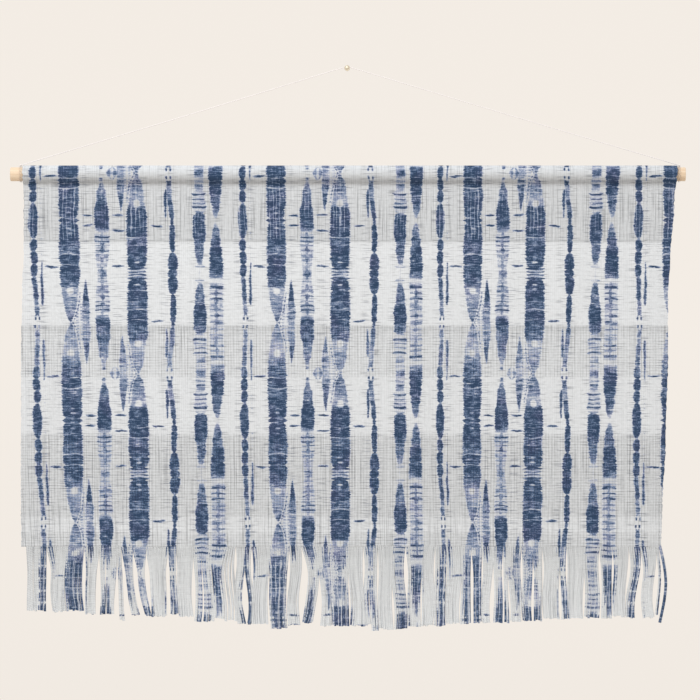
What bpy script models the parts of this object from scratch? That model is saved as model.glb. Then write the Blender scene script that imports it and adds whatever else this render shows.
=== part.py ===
"""A shibori dyed, hand-woven wall hanging on a wooden rod.

The cloth's top edge is turned over the rod and sewn down as a pocket, its lower edge is
unravelled into a fringe, and a thin cord, tied round both ends of the rod, hangs over a nail.

Metres, +Z up. The origin is where the nail's axis meets the wall, which is the plane Y = 0.
The hanging faces -Y, and the nail's point lies in the wall, at +Y.
"""

import math
import random
from collections import namedtuple

import bmesh
import bpy
from mathutils import Vector

MM = 0.001

# Wooden rod, a half-inch dowel
ROD_RADIUS = 6.35 * MM
ROD_LEFT = -308.8 * MM
ROD_RIGHT = 310.2 * MM
ROD_DROP = 97.4 * MM
ROD_STANDOFF = 8.7 * MM
ROD_EDGE_EASE = 0.5 * MM
ROD_SIDES = 32

# Cloth and its rod pocket
CLOTH_THICKNESS = 1.4 * MM
LAYER_GAP = 0.4 * MM
POCKET_RADIUS = ROD_RADIUS + LAYER_GAP + CLOTH_THICKNESS / 2
LAYER_OFFSET = (CLOTH_THICKNESS + LAYER_GAP) / 2
FILLET_RADIUS = 1.8 * MM
TAIL_LENGTH = 13 * MM
HEM_DROP = 438.9 * MM
CLOTH_COLUMNS = 30
POCKET_STEPS = 16
FILLET_STEPS = 3
TAIL_STEPS = 2
SHEET_STEPS = 15

# The two side edges of the cloth, from the pocket down to the fringe: they are not quite
# straight, and the right one leans in. Drop is measured below the nail.
EdgeRow = namedtuple("EdgeRow", "drop left right")
SIDE_EDGES = [
    EdgeRow(89, -297.3, 302.4),
    EdgeRow(128, -296.4, 299.7),
    EdgeRow(172, -296.6, 296.3),
    EdgeRow(205, -298.0, 294.2),
    EdgeRow(260, -299.0, 294.0),
    EdgeRow(348, -299.2, 291.6),
    EdgeRow(393, -299.2, 288.9),
    EdgeRow(439, -298.8, 287.4),
]

# Shallow waves in the hanging cloth, which grow towards the fringe
Wave = namedtuple("Wave", "length height phase")
WAVES = [
    Wave(355, 2.3, 0.10),
    Wave(205, 1.3, 0.62),
    Wave(118, 0.6, 0.35),
]
CORNER_LIFT = 2.6 * MM
CORNER_REACH = 70 * MM

# Fringe: the warp ends below the last weft, in groups that lean and part
STRIP_GAP = 0.3 * MM
STRIP_HEIGHT = 5 * MM
STRAND_PITCH = 3.65 * MM
STRAND_FILL = 0.80
STRAND_THICKNESS = 1.2 * MM
STRAND_STEPS = 3
FringeGroup = namedtuple("FringeGroup", "root_right tip_left tip_right length bow")
FRINGE_GROUPS = [
    FringeGroup(-263.4, -290.0, -264.0, 59, 0),
    FringeGroup(-227.6, -263.0, -229.0, 60, 0),
    FringeGroup(-211.1, -224.8, -213.0, 62, 0),
    FringeGroup(-207.0, -205.6, -203.0, 68, 0),
    FringeGroup(-198.2, -199.0, -189.2, 64, -1),
    FringeGroup(-183.6, -188.2, -179.6, 64, -1),
    FringeGroup(-163.4, -178.8, -164.4, 64, 0),
    FringeGroup(-156.1, -160.6, -156.2, 64, 0),
    FringeGroup(-141.4, -155.0, -143.4, 65, 0),
    FringeGroup(-130.4, -139.4, -135.0, 70, 1),
    FringeGroup(-122.2, -133.0, -125.0, 67, 0),
    FringeGroup(-102.0, -124.0, -105.0, 70, 2),
    FringeGroup(-87.3, -101.2, -87.5, 75, 2),
    FringeGroup(-69.0, -86.8, -70.0, 73, 0),
    FringeGroup(-54.3, -69.0, -55.4, 76, 0),
    FringeGroup(-41.4, -54.4, -42.6, 72, 0),
    FringeGroup(-28.6, -41.8, -36.0, 70, 5),
    FringeGroup(-10.3, -19.4, -9.4, 73, 1),
    FringeGroup(14.5, -8.6, 13.6, 73, 0),
    FringeGroup(53.0, 14.6, 52.8, 77, 0),
    FringeGroup(91.5, 53.6, 90.4, 73, 0),
    FringeGroup(113.5, 91.4, 112.6, 71, 0),
    FringeGroup(133.7, 116.2, 132.6, 70, 0),
    FringeGroup(152.0, 135.6, 151.8, 70, 0),
    FringeGroup(174.0, 153.0, 173.6, 69, 0),
    FringeGroup(197.0, 174.8, 196.2, 67, 0),
    FringeGroup(235.5, 197.0, 234.4, 65, 0),
    FringeGroup(242.8, 235.6, 241.6, 66, 0),
    FringeGroup(257.5, 242.8, 254.6, 64, 0),
    FringeGroup(267.6, 255.6, 263.4, 65, -1),
    FringeGroup(282.2, 271.4, 282.6, 65, 0),
    FringeGroup(287.4, 283.8, 287.0, 69, 3),
]

# Wall nail and the cord that hangs over it
NAIL_SHANK_RADIUS = 1.0 * MM
NAIL_HEAD_RADIUS = 2.6 * MM
NAIL_HEAD_BACK = 8.0 * MM
NAIL_HEAD_HEIGHT = 1.8 * MM
NAIL_IN_WALL = 20 * MM
NAIL_POINT = 3 * MM
CORD_DIAMETER = 0.8 * MM
CORD_STANDOFF = 6.0 * MM
PIECE_GAP = 0.3 * MM
NAIL_CORD_RADIUS = NAIL_SHANK_RADIUS + PIECE_GAP + CORD_DIAMETER / 2
KNOT_LEFT = -299.4 * MM
KNOT_RIGHT = 304.5 * MM
KNOT_TURNS = 3
KNOT_RADIUS = 1.2 * MM
KNOT_RISE = ROD_RADIUS + 1.9 * MM
KNOT_STEPS = 16
CORD_SAG = 0.5 * MM


def linear(channel):
    """One sRGB channel, 0 to 1, as linear light."""
    if channel <= 0.04045:
        return channel / 12.92
    return ((channel + 0.055) / 1.055) ** 2.4


def new_material(name, hex_colour, roughness, metallic=0.0):
    """A Principled material with the colour given as six sRGB hex digits."""
    channels = [int(hex_colour[i : i + 2], 16) / 255 for i in (0, 2, 4)]
    colour = [linear(c) for c in channels] + [1.0]
    material = bpy.data.materials.new(name)
    material.use_nodes = True
    shader = material.node_tree.nodes["Principled BSDF"]
    shader.inputs["Base Color"].default_value = colour
    shader.inputs["Roughness"].default_value = roughness
    shader.inputs["Metallic"].default_value = metallic
    return material


def empty_scene():
    """Removes whatever the file opened with."""
    for obj in list(bpy.data.objects):
        bpy.data.objects.remove(obj, do_unlink=True)


def new_collection(name):
    """A collection linked to the scene."""
    collection = bpy.data.collections.new(name)
    bpy.context.scene.collection.children.link(collection)
    return collection


def add_mesh(name, bm, collection, material, smooth_angle=40):
    """Makes an object from a bmesh, shaded smooth below the given angle."""
    bmesh.ops.recalc_face_normals(bm, faces=bm.faces[:])
    mesh = bpy.data.meshes.new(name)
    bm.to_mesh(mesh)
    bm.free()
    mesh.materials.append(material)
    mesh.shade_smooth()
    mesh.set_sharp_from_angle(angle=math.radians(smooth_angle))
    obj = bpy.data.objects.new(name, mesh)
    collection.objects.link(obj)
    return obj


def add_screw(obj, axis, steps):
    """Turns an open or closed profile into a full solid of revolution."""
    screw = obj.modifiers.new("turn", "SCREW")
    screw.axis = axis
    screw.steps = steps
    screw.render_steps = steps
    screw.use_merge_vertices = True
    screw.merge_threshold = 0.00001
    screw.use_normal_calculate = True
    return screw


def make_rod(collection):
    """The dowel: a cylinder along X with lightly eased end edges."""
    bpy.ops.mesh.primitive_cylinder_add(
        vertices=ROD_SIDES,
        radius=ROD_RADIUS,
        depth=ROD_RIGHT - ROD_LEFT,
        location=((ROD_LEFT + ROD_RIGHT) / 2, -ROD_STANDOFF, -ROD_DROP),
        rotation=(0, math.pi / 2, 0),
    )
    rod = bpy.context.object
    rod.name = "rod"
    for linked in list(rod.users_collection):
        linked.objects.unlink(rod)
    collection.objects.link(rod)
    ease = rod.modifiers.new("eased ends", "BEVEL")
    ease.width = ROD_EDGE_EASE
    ease.segments = 2
    ease.limit_method = "ANGLE"
    ease.angle_limit = math.radians(60)
    rod.data.shade_smooth()
    rod.data.set_sharp_from_angle(angle=math.radians(50))
    rod.data.materials.append(new_material("pale wood", "EAD7C1", 0.55))
    return rod


def smooth_step(share):
    """Eases a 0 to 1 share in and out."""
    share = min(1.0, max(0.0, share))
    return share * share * (3 - 2 * share)


def side_edges(drop):
    """X of the cloth's left and right edge at a drop below the nail."""
    rows = [EdgeRow(*(MM * value for value in row)) for row in SIDE_EDGES]
    drop = min(rows[-1].drop, max(rows[0].drop, drop))
    for upper, lower in zip(rows, rows[1:]):
        if drop <= lower.drop:
            t = smooth_step((drop - upper.drop) / (lower.drop - upper.drop))
            left = upper.left + t * (lower.left - upper.left)
            right = upper.right + t * (lower.right - upper.right)
            return left, right
    return rows[-1].left, rows[-1].right


def sheet_depth(x, drop):
    """How far the hanging cloth swings towards the room (negative) at a place on it."""
    top = ROD_DROP + POCKET_RADIUS + TAIL_LENGTH + 5 * MM
    grown = smooth_step((drop - top) / (HEM_DROP - top))
    swing = sum(
        wave.height * MM * math.sin(2 * math.pi * (x / (wave.length * MM) + wave.phase))
        for wave in WAVES
    )
    left, right = side_edges(drop)
    to_corner = min(x - left, right - x)
    lift = CORNER_LIFT * (1 - smooth_step(to_corner / CORNER_REACH))
    return grown * (swing - lift)


def cloth_section():
    """Midline of the cloth, as (y, drop) points: up the tail, round the rod, down the sheet."""
    reach = POCKET_RADIUS + FILLET_RADIUS
    aside = LAYER_OFFSET + FILLET_RADIUS
    pinch_angle = math.asin(aside / reach)
    pinch_drop = ROD_DROP + reach * math.cos(pinch_angle)

    def fillet(side):
        """The inside curve between a flat layer and the pocket, from the layer upwards."""
        points = []
        for step in range(FILLET_STEPS):
            turn = step / FILLET_STEPS * (math.pi / 2 - pinch_angle)
            y = side * (aside - FILLET_RADIUS * math.cos(turn)) - ROD_STANDOFF
            points.append((y, pinch_drop - FILLET_RADIUS * math.sin(turn)))
        return points

    tail_y = LAYER_OFFSET - ROD_STANDOFF
    sheet_y = -LAYER_OFFSET - ROD_STANDOFF
    points = [
        (tail_y, pinch_drop + TAIL_LENGTH * (1 - step / TAIL_STEPS))
        for step in range(TAIL_STEPS)
    ]
    points += fillet(1)
    for step in range(POCKET_STEPS + 1):
        turn = pinch_angle + step / POCKET_STEPS * 2 * (math.pi - pinch_angle)
        y = POCKET_RADIUS * math.sin(turn) - ROD_STANDOFF
        points.append((y, ROD_DROP + POCKET_RADIUS * math.cos(turn)))
    points += reversed(fillet(-1))
    points += [
        (sheet_y, pinch_drop + (HEM_DROP - pinch_drop) * step / SHEET_STEPS)
        for step in range(1, SHEET_STEPS + 1)
    ]
    return points


def make_cloth(collection):
    """The woven cloth, one solid sheet from its sewn-down tail to its unravelled edge."""
    section = cloth_section()
    bm = bmesh.new()
    bmesh.ops.create_grid(
        bm, x_segments=CLOTH_COLUMNS, y_segments=len(section) - 1, size=1
    )
    for vert in bm.verts:
        across = (vert.co.x + 1) / 2
        row = round((vert.co.y + 1) / 2 * (len(section) - 1))
        y, drop = section[row]
        left, right = side_edges(drop)
        x = left + across * (right - left)
        vert.co = (x, y + sheet_depth(x, drop), -drop)
    cloth = add_mesh(
        "cloth", bm, collection, new_material("shibori dyed cloth", "B9BEC9", 0.9)
    )
    thick = cloth.modifiers.new("cloth thickness", "SOLIDIFY")
    thick.thickness = CLOTH_THICKNESS
    thick.offset = 0
    thick.use_even_offset = True
    return cloth


def fringe_strands():
    """Each strand's centre X and pitch at its root and at its tip, its length and its bow."""
    chance = random.Random(7)
    strands = []
    root_left = side_edges(HEM_DROP)[0]
    for group in FRINGE_GROUPS:
        root_right = group.root_right * MM
        tip_left, tip_right = group.tip_left * MM, group.tip_right * MM
        count = max(1, round((root_right - root_left) / STRAND_PITCH))
        for index in range(count):
            share = (index + 0.5) / count
            strands.append(
                {
                    "root": root_left + share * (root_right - root_left),
                    "root_pitch": (root_right - root_left) / count,
                    "tip": tip_left + share * (tip_right - tip_left),
                    "tip_pitch": (tip_right - tip_left) / count,
                    "length": group.length * MM + chance.uniform(-1.5, 0.8) * MM,
                    "bow": group.bow * MM,
                    "swing": chance.uniform(-0.8, 0.8) * MM,
                }
            )
        root_left = root_right
    return strands


def strand_section(strand, share):
    """Centre X, Y, Z and width of a strand, from its root (0) to its tip (1)."""
    strip_bottom = HEM_DROP + STRIP_GAP + STRIP_HEIGHT
    drop = strip_bottom + share * (HEM_DROP + strand["length"] - strip_bottom)
    eased = share * (0.55 + 0.45 * share)
    x = strand["root"] + eased * (strand["tip"] - strand["root"])
    x += strand["bow"] * math.sin(math.pi * share)
    pitch = strand["root_pitch"] + eased * (strand["tip_pitch"] - strand["root_pitch"])
    y = -LAYER_OFFSET - ROD_STANDOFF + sheet_depth(strand["root"], HEM_DROP)
    y += share * share * strand["swing"]
    return x, y, -drop, STRAND_FILL * pitch


def place_face(face, x, y, z, width):
    """Moves a strand's end face, which keeps its four corners left, right, front and back."""
    centre = face.calc_center_median()
    for vert in face.verts:
        side = 1 if vert.co.x > centre.x else -1
        back = 1 if vert.co.y > centre.y else -1
        vert.co = (x + side * width / 2, y + back * STRAND_THICKNESS / 2, z)


def make_fringe(collection):
    """The warp ends: four-sided strands whose roots share a narrow strip under the cloth."""
    strands = fringe_strands()
    top = -HEM_DROP - STRIP_GAP
    edges = []
    for strand in strands:
        x, y, z, width = strand_section(strand, 0)
        edges += [x - width / 2, x + width / 2]
    bm = bmesh.new()
    bmesh.ops.create_grid(bm, x_segments=len(edges) - 1, y_segments=1, size=1)
    for vert in bm.verts:
        x = edges[round((vert.co.x + 1) / 2 * (len(edges) - 1))]
        y = -LAYER_OFFSET - ROD_STANDOFF + sheet_depth(x, HEM_DROP) - STRAND_THICKNESS / 2
        vert.co = (x, y, top if vert.co.y > 0 else top - STRIP_HEIGHT)
    made = bmesh.ops.extrude_face_region(bm, geom=bm.faces[:])
    for vert in (item for item in made["geom"] if isinstance(item, bmesh.types.BMVert)):
        vert.co.y += STRAND_THICKNESS
    bmesh.ops.recalc_face_normals(bm, faces=bm.faces[:])
    bottom = [face for face in bm.faces if face.normal.z < -0.9]
    bottom.sort(key=lambda face: face.calc_center_median().x)
    for strand, face in zip(strands, bottom[::2]):
        for step in range(1, STRAND_STEPS + 1):
            face = bmesh.ops.extrude_discrete_faces(bm, faces=[face])["faces"][0]
            x, y, z, width = strand_section(strand, step / STRAND_STEPS)
            place_face(face, x, y, z, width)
    return add_mesh(
        "fringe", bm, collection, new_material("cotton warp ends", "C3C7CF", 0.9)
    )


def make_nail(collection):
    """The wall nail, turned about Y: point in the wall, shank, and a low domed head."""
    head_front = NAIL_HEAD_BACK + NAIL_HEAD_HEIGHT
    profile = [
        (0, NAIL_IN_WALL),
        (NAIL_SHANK_RADIUS, NAIL_IN_WALL - NAIL_POINT),
        (NAIL_SHANK_RADIUS, -NAIL_HEAD_BACK),
        (NAIL_HEAD_RADIUS * 0.93, -NAIL_HEAD_BACK),
        (NAIL_HEAD_RADIUS, -NAIL_HEAD_BACK - 0.3 * NAIL_HEAD_HEIGHT),
        (NAIL_HEAD_RADIUS * 0.93, -NAIL_HEAD_BACK - 0.6 * NAIL_HEAD_HEIGHT),
        (NAIL_HEAD_RADIUS * 0.6, -NAIL_HEAD_BACK - 0.88 * NAIL_HEAD_HEIGHT),
        (0, -head_front),
    ]
    bm = bmesh.new()
    verts = [bm.verts.new((radius, y, 0)) for radius, y in profile]
    for first, second in zip(verts, verts[1:]):
        bm.edges.new((first, second))
    nail = add_mesh(
        "nail", bm, collection, new_material("brass nail", "CFC6B2", 0.35, 1.0)
    )
    add_screw(nail, "Y", 16)
    return nail


def smooth_route(points, spans):
    """A Catmull-Rom curve through the points, read at so many steps in each span."""
    ends = [2 * points[0] - points[1]] + points + [2 * points[-1] - points[-2]]
    line = []
    for index, steps in enumerate(spans):
        a, b, c, d = ends[index : index + 4]
        for step in range(steps):
            t = step / steps
            line.append(
                0.5
                * (
                    2 * b
                    + (c - a) * t
                    + (2 * a - 5 * b + 4 * c - d) * t**2
                    + (3 * b - a - 3 * c + d) * t**3
                )
            )
    return line + [points[-1]]


def cord_half(knot_x):
    """Route of half the cord, from the nail's top down to the knot at one end of the rod."""
    side = math.copysign(1, knot_x)
    knot = Vector((knot_x, -ROD_STANDOFF, KNOT_RISE - ROD_DROP))
    slope = math.atan2(NAIL_CORD_RADIUS - knot.z, abs(knot_x))
    leave = Vector(
        (
            side * NAIL_CORD_RADIUS * math.sin(slope),
            -CORD_STANDOFF,
            NAIL_CORD_RADIUS * math.cos(slope),
        )
    )
    end = knot + (KNOT_RADIUS + PIECE_GAP) * (leave - knot).normalized()
    near = leave.lerp(end, 0.012)
    middle = near.lerp(end, 0.5) - Vector((0, 0, CORD_SAG))
    return [leave, near, middle, end]


def make_cord(collection):
    """The hanging cord: one thin taut tube from the left knot over the nail to the right knot."""
    top = Vector((0, -CORD_STANDOFF, NAIL_CORD_RADIUS))
    route = [*reversed(cord_half(KNOT_LEFT)), top, *cord_half(KNOT_RIGHT)]
    line = smooth_route(route, [6, 6, 1, 1, 1, 1, 6, 6])
    curve = bpy.data.curves.new("cord", "CURVE")
    curve.dimensions = "3D"
    curve.bevel_depth = CORD_DIAMETER / 2
    curve.bevel_resolution = 2
    curve.use_fill_caps = True
    spline = curve.splines.new("POLY")
    spline.points.add(len(line) - 1)
    for point, place in zip(spline.points, line):
        point.co = (*place, 1)
    cord = bpy.data.objects.new("cord", curve)
    cord.data.materials.append(new_material("undyed hanging cord", "F2EDE6", 0.6))
    collection.objects.link(cord)
    return cord


def turns_profile():
    """Outline, as (x, radius), of the cord's turns lying side by side round the rod."""
    half = CORD_DIAMETER / 2
    inner = (ROD_RADIUS + PIECE_GAP) / math.cos(math.pi / KNOT_STEPS)
    width = KNOT_TURNS * CORD_DIAMETER
    points = [(-0.4 * width, inner), (-0.5 * width, inner + half)]
    for turn in range(KNOT_TURNS):
        centre = (turn - (KNOT_TURNS - 1) / 2) * CORD_DIAMETER
        points.append((centre, inner + CORD_DIAMETER))
        if turn < KNOT_TURNS - 1:
            points.append((centre + half, inner + 1.2 * half))
    points += [(0.5 * width, inner + half), (0.4 * width, inner)]
    return points


def make_knot(name, x, collection, helpers, material):
    """Turns of the cord round the rod, with the knot on top that the cord leaves from."""
    bm = bmesh.new()
    verts = [bm.verts.new((across, 0, radius)) for across, radius in turns_profile()]
    for first, second in zip(verts, verts[1:] + verts[:1]):
        bm.edges.new((first, second))
    knot = add_mesh(name, bm, collection, material)
    knot.location = (x, -ROD_STANDOFF, -ROD_DROP)
    add_screw(knot, "X", KNOT_STEPS)

    bead_mesh = bmesh.new()
    bmesh.ops.create_icosphere(bead_mesh, subdivisions=2, radius=KNOT_RADIUS)
    bead = add_mesh(name + "_bead", bead_mesh, helpers, material)
    bead.location = (x, -ROD_STANDOFF, KNOT_RISE - ROD_DROP)
    bead.hide_render = True
    bead.display_type = "WIRE"
    union = knot.modifiers.new("tied knot", "BOOLEAN")
    union.operation = "UNION"
    union.object = bead
    return knot


def main():
    """Builds every piece of the hanging."""
    empty_scene()
    hanging = new_collection("shibori wall hanging")
    helpers = new_collection("helpers")
    make_rod(hanging)
    make_cloth(hanging)
    make_fringe(hanging)
    make_nail(hanging)
    make_cord(hanging)
    knot_thread = new_material("knotted cord", "F2EDE6", 0.6)
    make_knot("knot_left", KNOT_LEFT, hanging, helpers, knot_thread)
    make_knot("knot_right", KNOT_RIGHT, hanging, helpers, knot_thread)


main()
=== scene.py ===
# %% [markdown]
# A shibori dyed cloth on a wooden rod. The real thing is a handwoven cotton cloth, tied and
# dyed with indigo, whose top is folded over a dowel and whose warp ends hang free below. A
# thin cord runs from each end of the dowel over a nail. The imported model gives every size
# and place, and this lesson dresses it: each solid gets a finish, or a finer piece.

# %% Load the frame
import math
import random

import bmesh
import bpy
from mathutils import Matrix, Vector, noise


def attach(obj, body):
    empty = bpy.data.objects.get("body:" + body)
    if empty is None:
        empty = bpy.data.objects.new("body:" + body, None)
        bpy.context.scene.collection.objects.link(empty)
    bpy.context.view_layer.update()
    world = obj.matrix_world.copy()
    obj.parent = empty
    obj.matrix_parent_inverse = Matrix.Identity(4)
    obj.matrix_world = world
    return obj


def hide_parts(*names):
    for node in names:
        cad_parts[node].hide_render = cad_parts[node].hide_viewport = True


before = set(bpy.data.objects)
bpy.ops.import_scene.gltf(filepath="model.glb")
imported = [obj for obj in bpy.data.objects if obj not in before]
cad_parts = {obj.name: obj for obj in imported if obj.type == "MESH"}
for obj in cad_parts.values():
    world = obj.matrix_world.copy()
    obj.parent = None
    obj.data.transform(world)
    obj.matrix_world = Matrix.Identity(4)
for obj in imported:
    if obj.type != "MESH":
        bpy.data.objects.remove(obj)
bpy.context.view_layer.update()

MM = 0.001

# %% [markdown]
# The photograph is taken straight on with a long lens, so nothing converges. A frame of
# 641.9 mm at the cloth fills the picture from side to side, which sets how far back the
# camera stands.

# %% Camera
VIEW_WIDTH = 641.9 * MM
VIEW_CENTRE = Vector((2.57, -9.6, -258.6)) * MM
lens = bpy.data.cameras.new("camera")
lens.lens = 200
lens.sensor_width = 36
lens.clip_end = 50
camera = bpy.data.objects.new("camera", lens)
distance = VIEW_WIDTH * lens.lens / lens.sensor_width
camera.location = VIEW_CENTRE - Vector((0, distance, 0))
camera.rotation_euler = (math.pi / 2, 0, 0)
bpy.context.scene.collection.objects.link(camera)
bpy.context.scene.camera = camera
bpy.context.scene.view_settings.view_transform = "Standard"
print("camera stands", round(distance, 3), "m from the cloth")

# %% [markdown]
# Finishes are built from nodes. Colours are picked as they look on a screen, in sRGB hex, and
# one function turns them into the linear light that shaders count in. Another adds a node,
# sets it up and links it, so that each finish below reads as a list of steps.

# %% Colours and nodes
MATH = "ShaderNodeMath"
MOVE = "ShaderNodeVectorMath"
NOISE = "ShaderNodeTexNoise"
CURVE = "ShaderNodeFloatCurve"
RAMP = "ShaderNodeValToRGB"
MIX = "ShaderNodeMix"
BUMP = "ShaderNodeBump"
COORDINATES = "ShaderNodeTexCoord"


def linear(hex_colour):
    """Six sRGB hex digits as a linear colour with alpha."""
    channels = [int(hex_colour[i : i + 2], 16) / 255 for i in (0, 2, 4)]
    light = [c / 12.92 if c <= 0.04045 else ((c + 0.055) / 1.055) ** 2.4 for c in channels]
    return (*light, 1.0)


def add(tree, kind, *feeds, named=None, **settings):
    """Adds a node with its settings, and feeds its sockets in order, then by name."""
    node = tree.nodes.new(kind)
    for field, value in settings.items():
        setattr(node, field, value)
    pairs = list(zip(node.inputs, feeds))
    pairs += [(node.inputs[name], value) for name, value in (named or {}).items()]
    for socket, value in pairs:
        if isinstance(value, bpy.types.Node):
            value = value.outputs[0]
        if isinstance(value, bpy.types.NodeSocket):
            tree.links.new(value, socket)
        elif value is not None:
            socket.default_value = value
    return node


def new_finish(name):
    """A material with only its shader and output, and the shader."""
    material = bpy.data.materials.new(name)
    material.use_nodes = True
    return material, material.node_tree, material.node_tree.nodes["Principled BSDF"]


def draw(node, points, length=1, height=1):
    """Draws a hand-made chart on a curve, or colours on a ramp."""
    if node.bl_idname == RAMP:
        while len(node.color_ramp.elements) < len(points):
            node.color_ramp.elements.new(0.5)
        for element, (place, colour) in zip(node.color_ramp.elements, points):
            element.position = place
            element.color = linear(colour)
        return node
    line = node.mapping.curves[0]
    for index, (place, value) in enumerate(points):
        if index > 1:
            line.points.new(place / length, value / height)
        else:
            line.points[index].location = (place / length, value / height)
    for point in line.points:
        point.handle_type = "VECTOR"
    node.mapping.update()
    return node


# %% [markdown]
# The cord is one thin undyed thread, drawn tight by the weight of the cloth. It leaves the
# knot at the left end of the rod, bends over the nail and comes down to the right knot. A
# curve with a round bevel is the natural way to make it. Its route repeats the model's, in
# metres, so it lies where the solid lies.

# %% Cord
ROD_RADIUS = 6.35 * MM
ROD_DROP = 97.4 * MM
ROD_STANDOFF = 8.7 * MM
CORD_DIAMETER = 0.8 * MM
NAIL_CORD_RADIUS = 1.7 * MM
CORD_STANDOFF = 6.0 * MM
CORD_SAG = 0.5 * MM
KNOTS = {"knot_left": -299.4 * MM, "knot_right": 304.5 * MM}
KNOT_RISE = 8.25 * MM
KNOT_REACH = 1.5 * MM


def cord_half(knot_x):
    """Route of half the cord, from the nail's top down to a knot on the rod."""
    side = math.copysign(1, knot_x)
    knot = Vector((knot_x, -ROD_STANDOFF, KNOT_RISE - ROD_DROP))
    slope = math.atan2(NAIL_CORD_RADIUS - knot.z, abs(knot_x))
    leave = Vector((side * math.sin(slope), 0, math.cos(slope))) * NAIL_CORD_RADIUS
    leave.y = -CORD_STANDOFF
    end = knot + KNOT_REACH * (leave - knot).normalized()
    near = leave.lerp(end, 0.012)
    middle = near.lerp(end, 0.5) - Vector((0, 0, CORD_SAG))
    return [leave, near, middle, end]


def smooth_route(points, spans):
    """A Catmull-Rom curve through the points, read at so many steps in each span."""
    ends = [2 * points[0] - points[1]] + points + [2 * points[-1] - points[-2]]
    line = []
    for index, steps in enumerate(spans):
        a, b, c, d = ends[index : index + 4]
        for step in range(steps):
            t = step / steps
            curve = 2 * b + (c - a) * t + (2 * a - 5 * b + 4 * c - d) * t**2
            line.append(0.5 * (curve + (3 * b - a - 3 * c + d) * t**3))
    return line + [points[-1]]


nail_top = Vector((0, -CORD_STANDOFF, NAIL_CORD_RADIUS))
halves = [cord_half(KNOTS["knot_left"]), cord_half(KNOTS["knot_right"])]
cord_line = smooth_route([*reversed(halves[0]), nail_top, *halves[1]], [6, 6, 1, 3, 3, 1, 6, 6])

cord_curve = bpy.data.curves.new("hanging_cord", "CURVE")
cord_curve.dimensions = "3D"
cord_curve.bevel_depth = CORD_DIAMETER / 2
cord_curve.bevel_resolution = 3
cord_curve.use_fill_caps = True
cord_spline = cord_curve.splines.new("POLY")
cord_spline.points.add(len(cord_line) - 1)
for point, place in zip(cord_spline.points, cord_line):
    point.co = (*place, 1)
cord = bpy.data.objects.new("hanging_cord", cord_curve)
bpy.context.scene.collection.objects.link(cord)

# %% [markdown]
# The knots are the same thread: three turns round the rod and a small bead on top where it is
# tied. Spinning a little circle about the rod, and sliding it along at each step, lays the
# turns like a coil spring. The bead is three rings of thread crossed over a core.

# %% Knots
KNOT_TURNS = 3
STEPS_A_TURN = 32
KNOT_GAP = 0.3 * MM
THREAD_SIDES = 8
BEAD_RADIUS = 0.8 * MM
BEAD_RING_RADIUS = 0.75 * MM
BEAD_RING_TILTS = (35, -40, 90)


def add_piece(name, bm, smooth_angle=50):
    """A smooth-shaded object from a bmesh, with its faces pointing out."""
    bmesh.ops.recalc_face_normals(bm, faces=bm.faces[:])
    mesh = bpy.data.meshes.new(name)
    bm.to_mesh(mesh)
    bm.free()
    mesh.shade_smooth()
    mesh.set_sharp_from_angle(angle=math.radians(smooth_angle))
    piece = bpy.data.objects.new(name, mesh)
    bpy.context.scene.collection.objects.link(piece)
    return piece


def thread_section(bm, thickness, turns, capped=False):
    """A small circle of thread, turned by (degrees, axis) steps, as its vertices."""
    verts = bmesh.ops.create_circle(
        bm, cap_ends=capped, segments=THREAD_SIDES, radius=thickness / 2,
    )["verts"]
    for degrees, axis in turns:
        matrix = Matrix.Rotation(math.radians(degrees), 3, axis)
        bmesh.ops.rotate(bm, verts=verts, matrix=matrix, cent=(0, 0, 0))
    return verts


def make_knot(name, x):
    """Three wound turns and the tied bead, round the rod at one place."""
    bm = bmesh.new()
    rod_place = Vector((x, -ROD_STANDOFF, -ROD_DROP))
    winding = ROD_RADIUS + KNOT_GAP + CORD_DIAMETER / 2
    start = rod_place + Vector((-KNOT_TURNS / 2 * CORD_DIAMETER, 0, winding))
    steps = KNOT_TURNS * STEPS_A_TURN
    thread = thread_section(bm, 0.96 * CORD_DIAMETER, [(90, "X"), (90, "Z")], capped=True)
    bmesh.ops.translate(bm, verts=thread, vec=start)
    bmesh.ops.spin(
        bm, geom=bm.faces[:] + bm.edges[:] + bm.verts[:], cent=rod_place, axis=(1, 0, 0),
        dvec=(KNOT_TURNS * CORD_DIAMETER / steps, 0, 0), angle=2 * math.pi * KNOT_TURNS,
        steps=steps, use_merge=False, use_duplicate=False,
    )
    bead_place = rod_place + Vector((0, 0, KNOT_RISE))
    core = bmesh.ops.create_icosphere(bm, subdivisions=2, radius=BEAD_RADIUS)
    bmesh.ops.translate(bm, verts=core["verts"], vec=bead_place)
    for tilt in BEAD_RING_TILTS:
        known = set(bm.verts)
        ring = thread_section(bm, 0.9 * CORD_DIAMETER, [(90, "X")])
        bmesh.ops.translate(bm, verts=ring, vec=(BEAD_RING_RADIUS, 0, 0))
        edges = [edge for edge in bm.edges if edge.verts[0] in ring]
        bmesh.ops.spin(
            bm, geom=edges + ring, cent=(0, 0, 0), axis=(0, 0, 1), angle=2 * math.pi,
            steps=16, use_merge=True, use_duplicate=False,
        )
        spun = [vert for vert in bm.verts if vert not in known]
        tilted = Matrix.Rotation(math.radians(tilt), 3, "Y")
        bmesh.ops.rotate(bm, verts=spun, matrix=tilted, cent=(0, 0, 0))
        bmesh.ops.translate(bm, verts=spun, vec=bead_place)
    return add_piece(name, bm)


knot_pieces = {name: make_knot(name + "_wound", x) for name, x in KNOTS.items()}
print("knots wound at", [round(x, 4) for x in KNOTS.values()])

# %% [markdown]
# The nail holds everything. A turned profile, spun about its own axis, gives the shank, the
# point in the wall and a head with a raised rim and a shallow dome.

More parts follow.
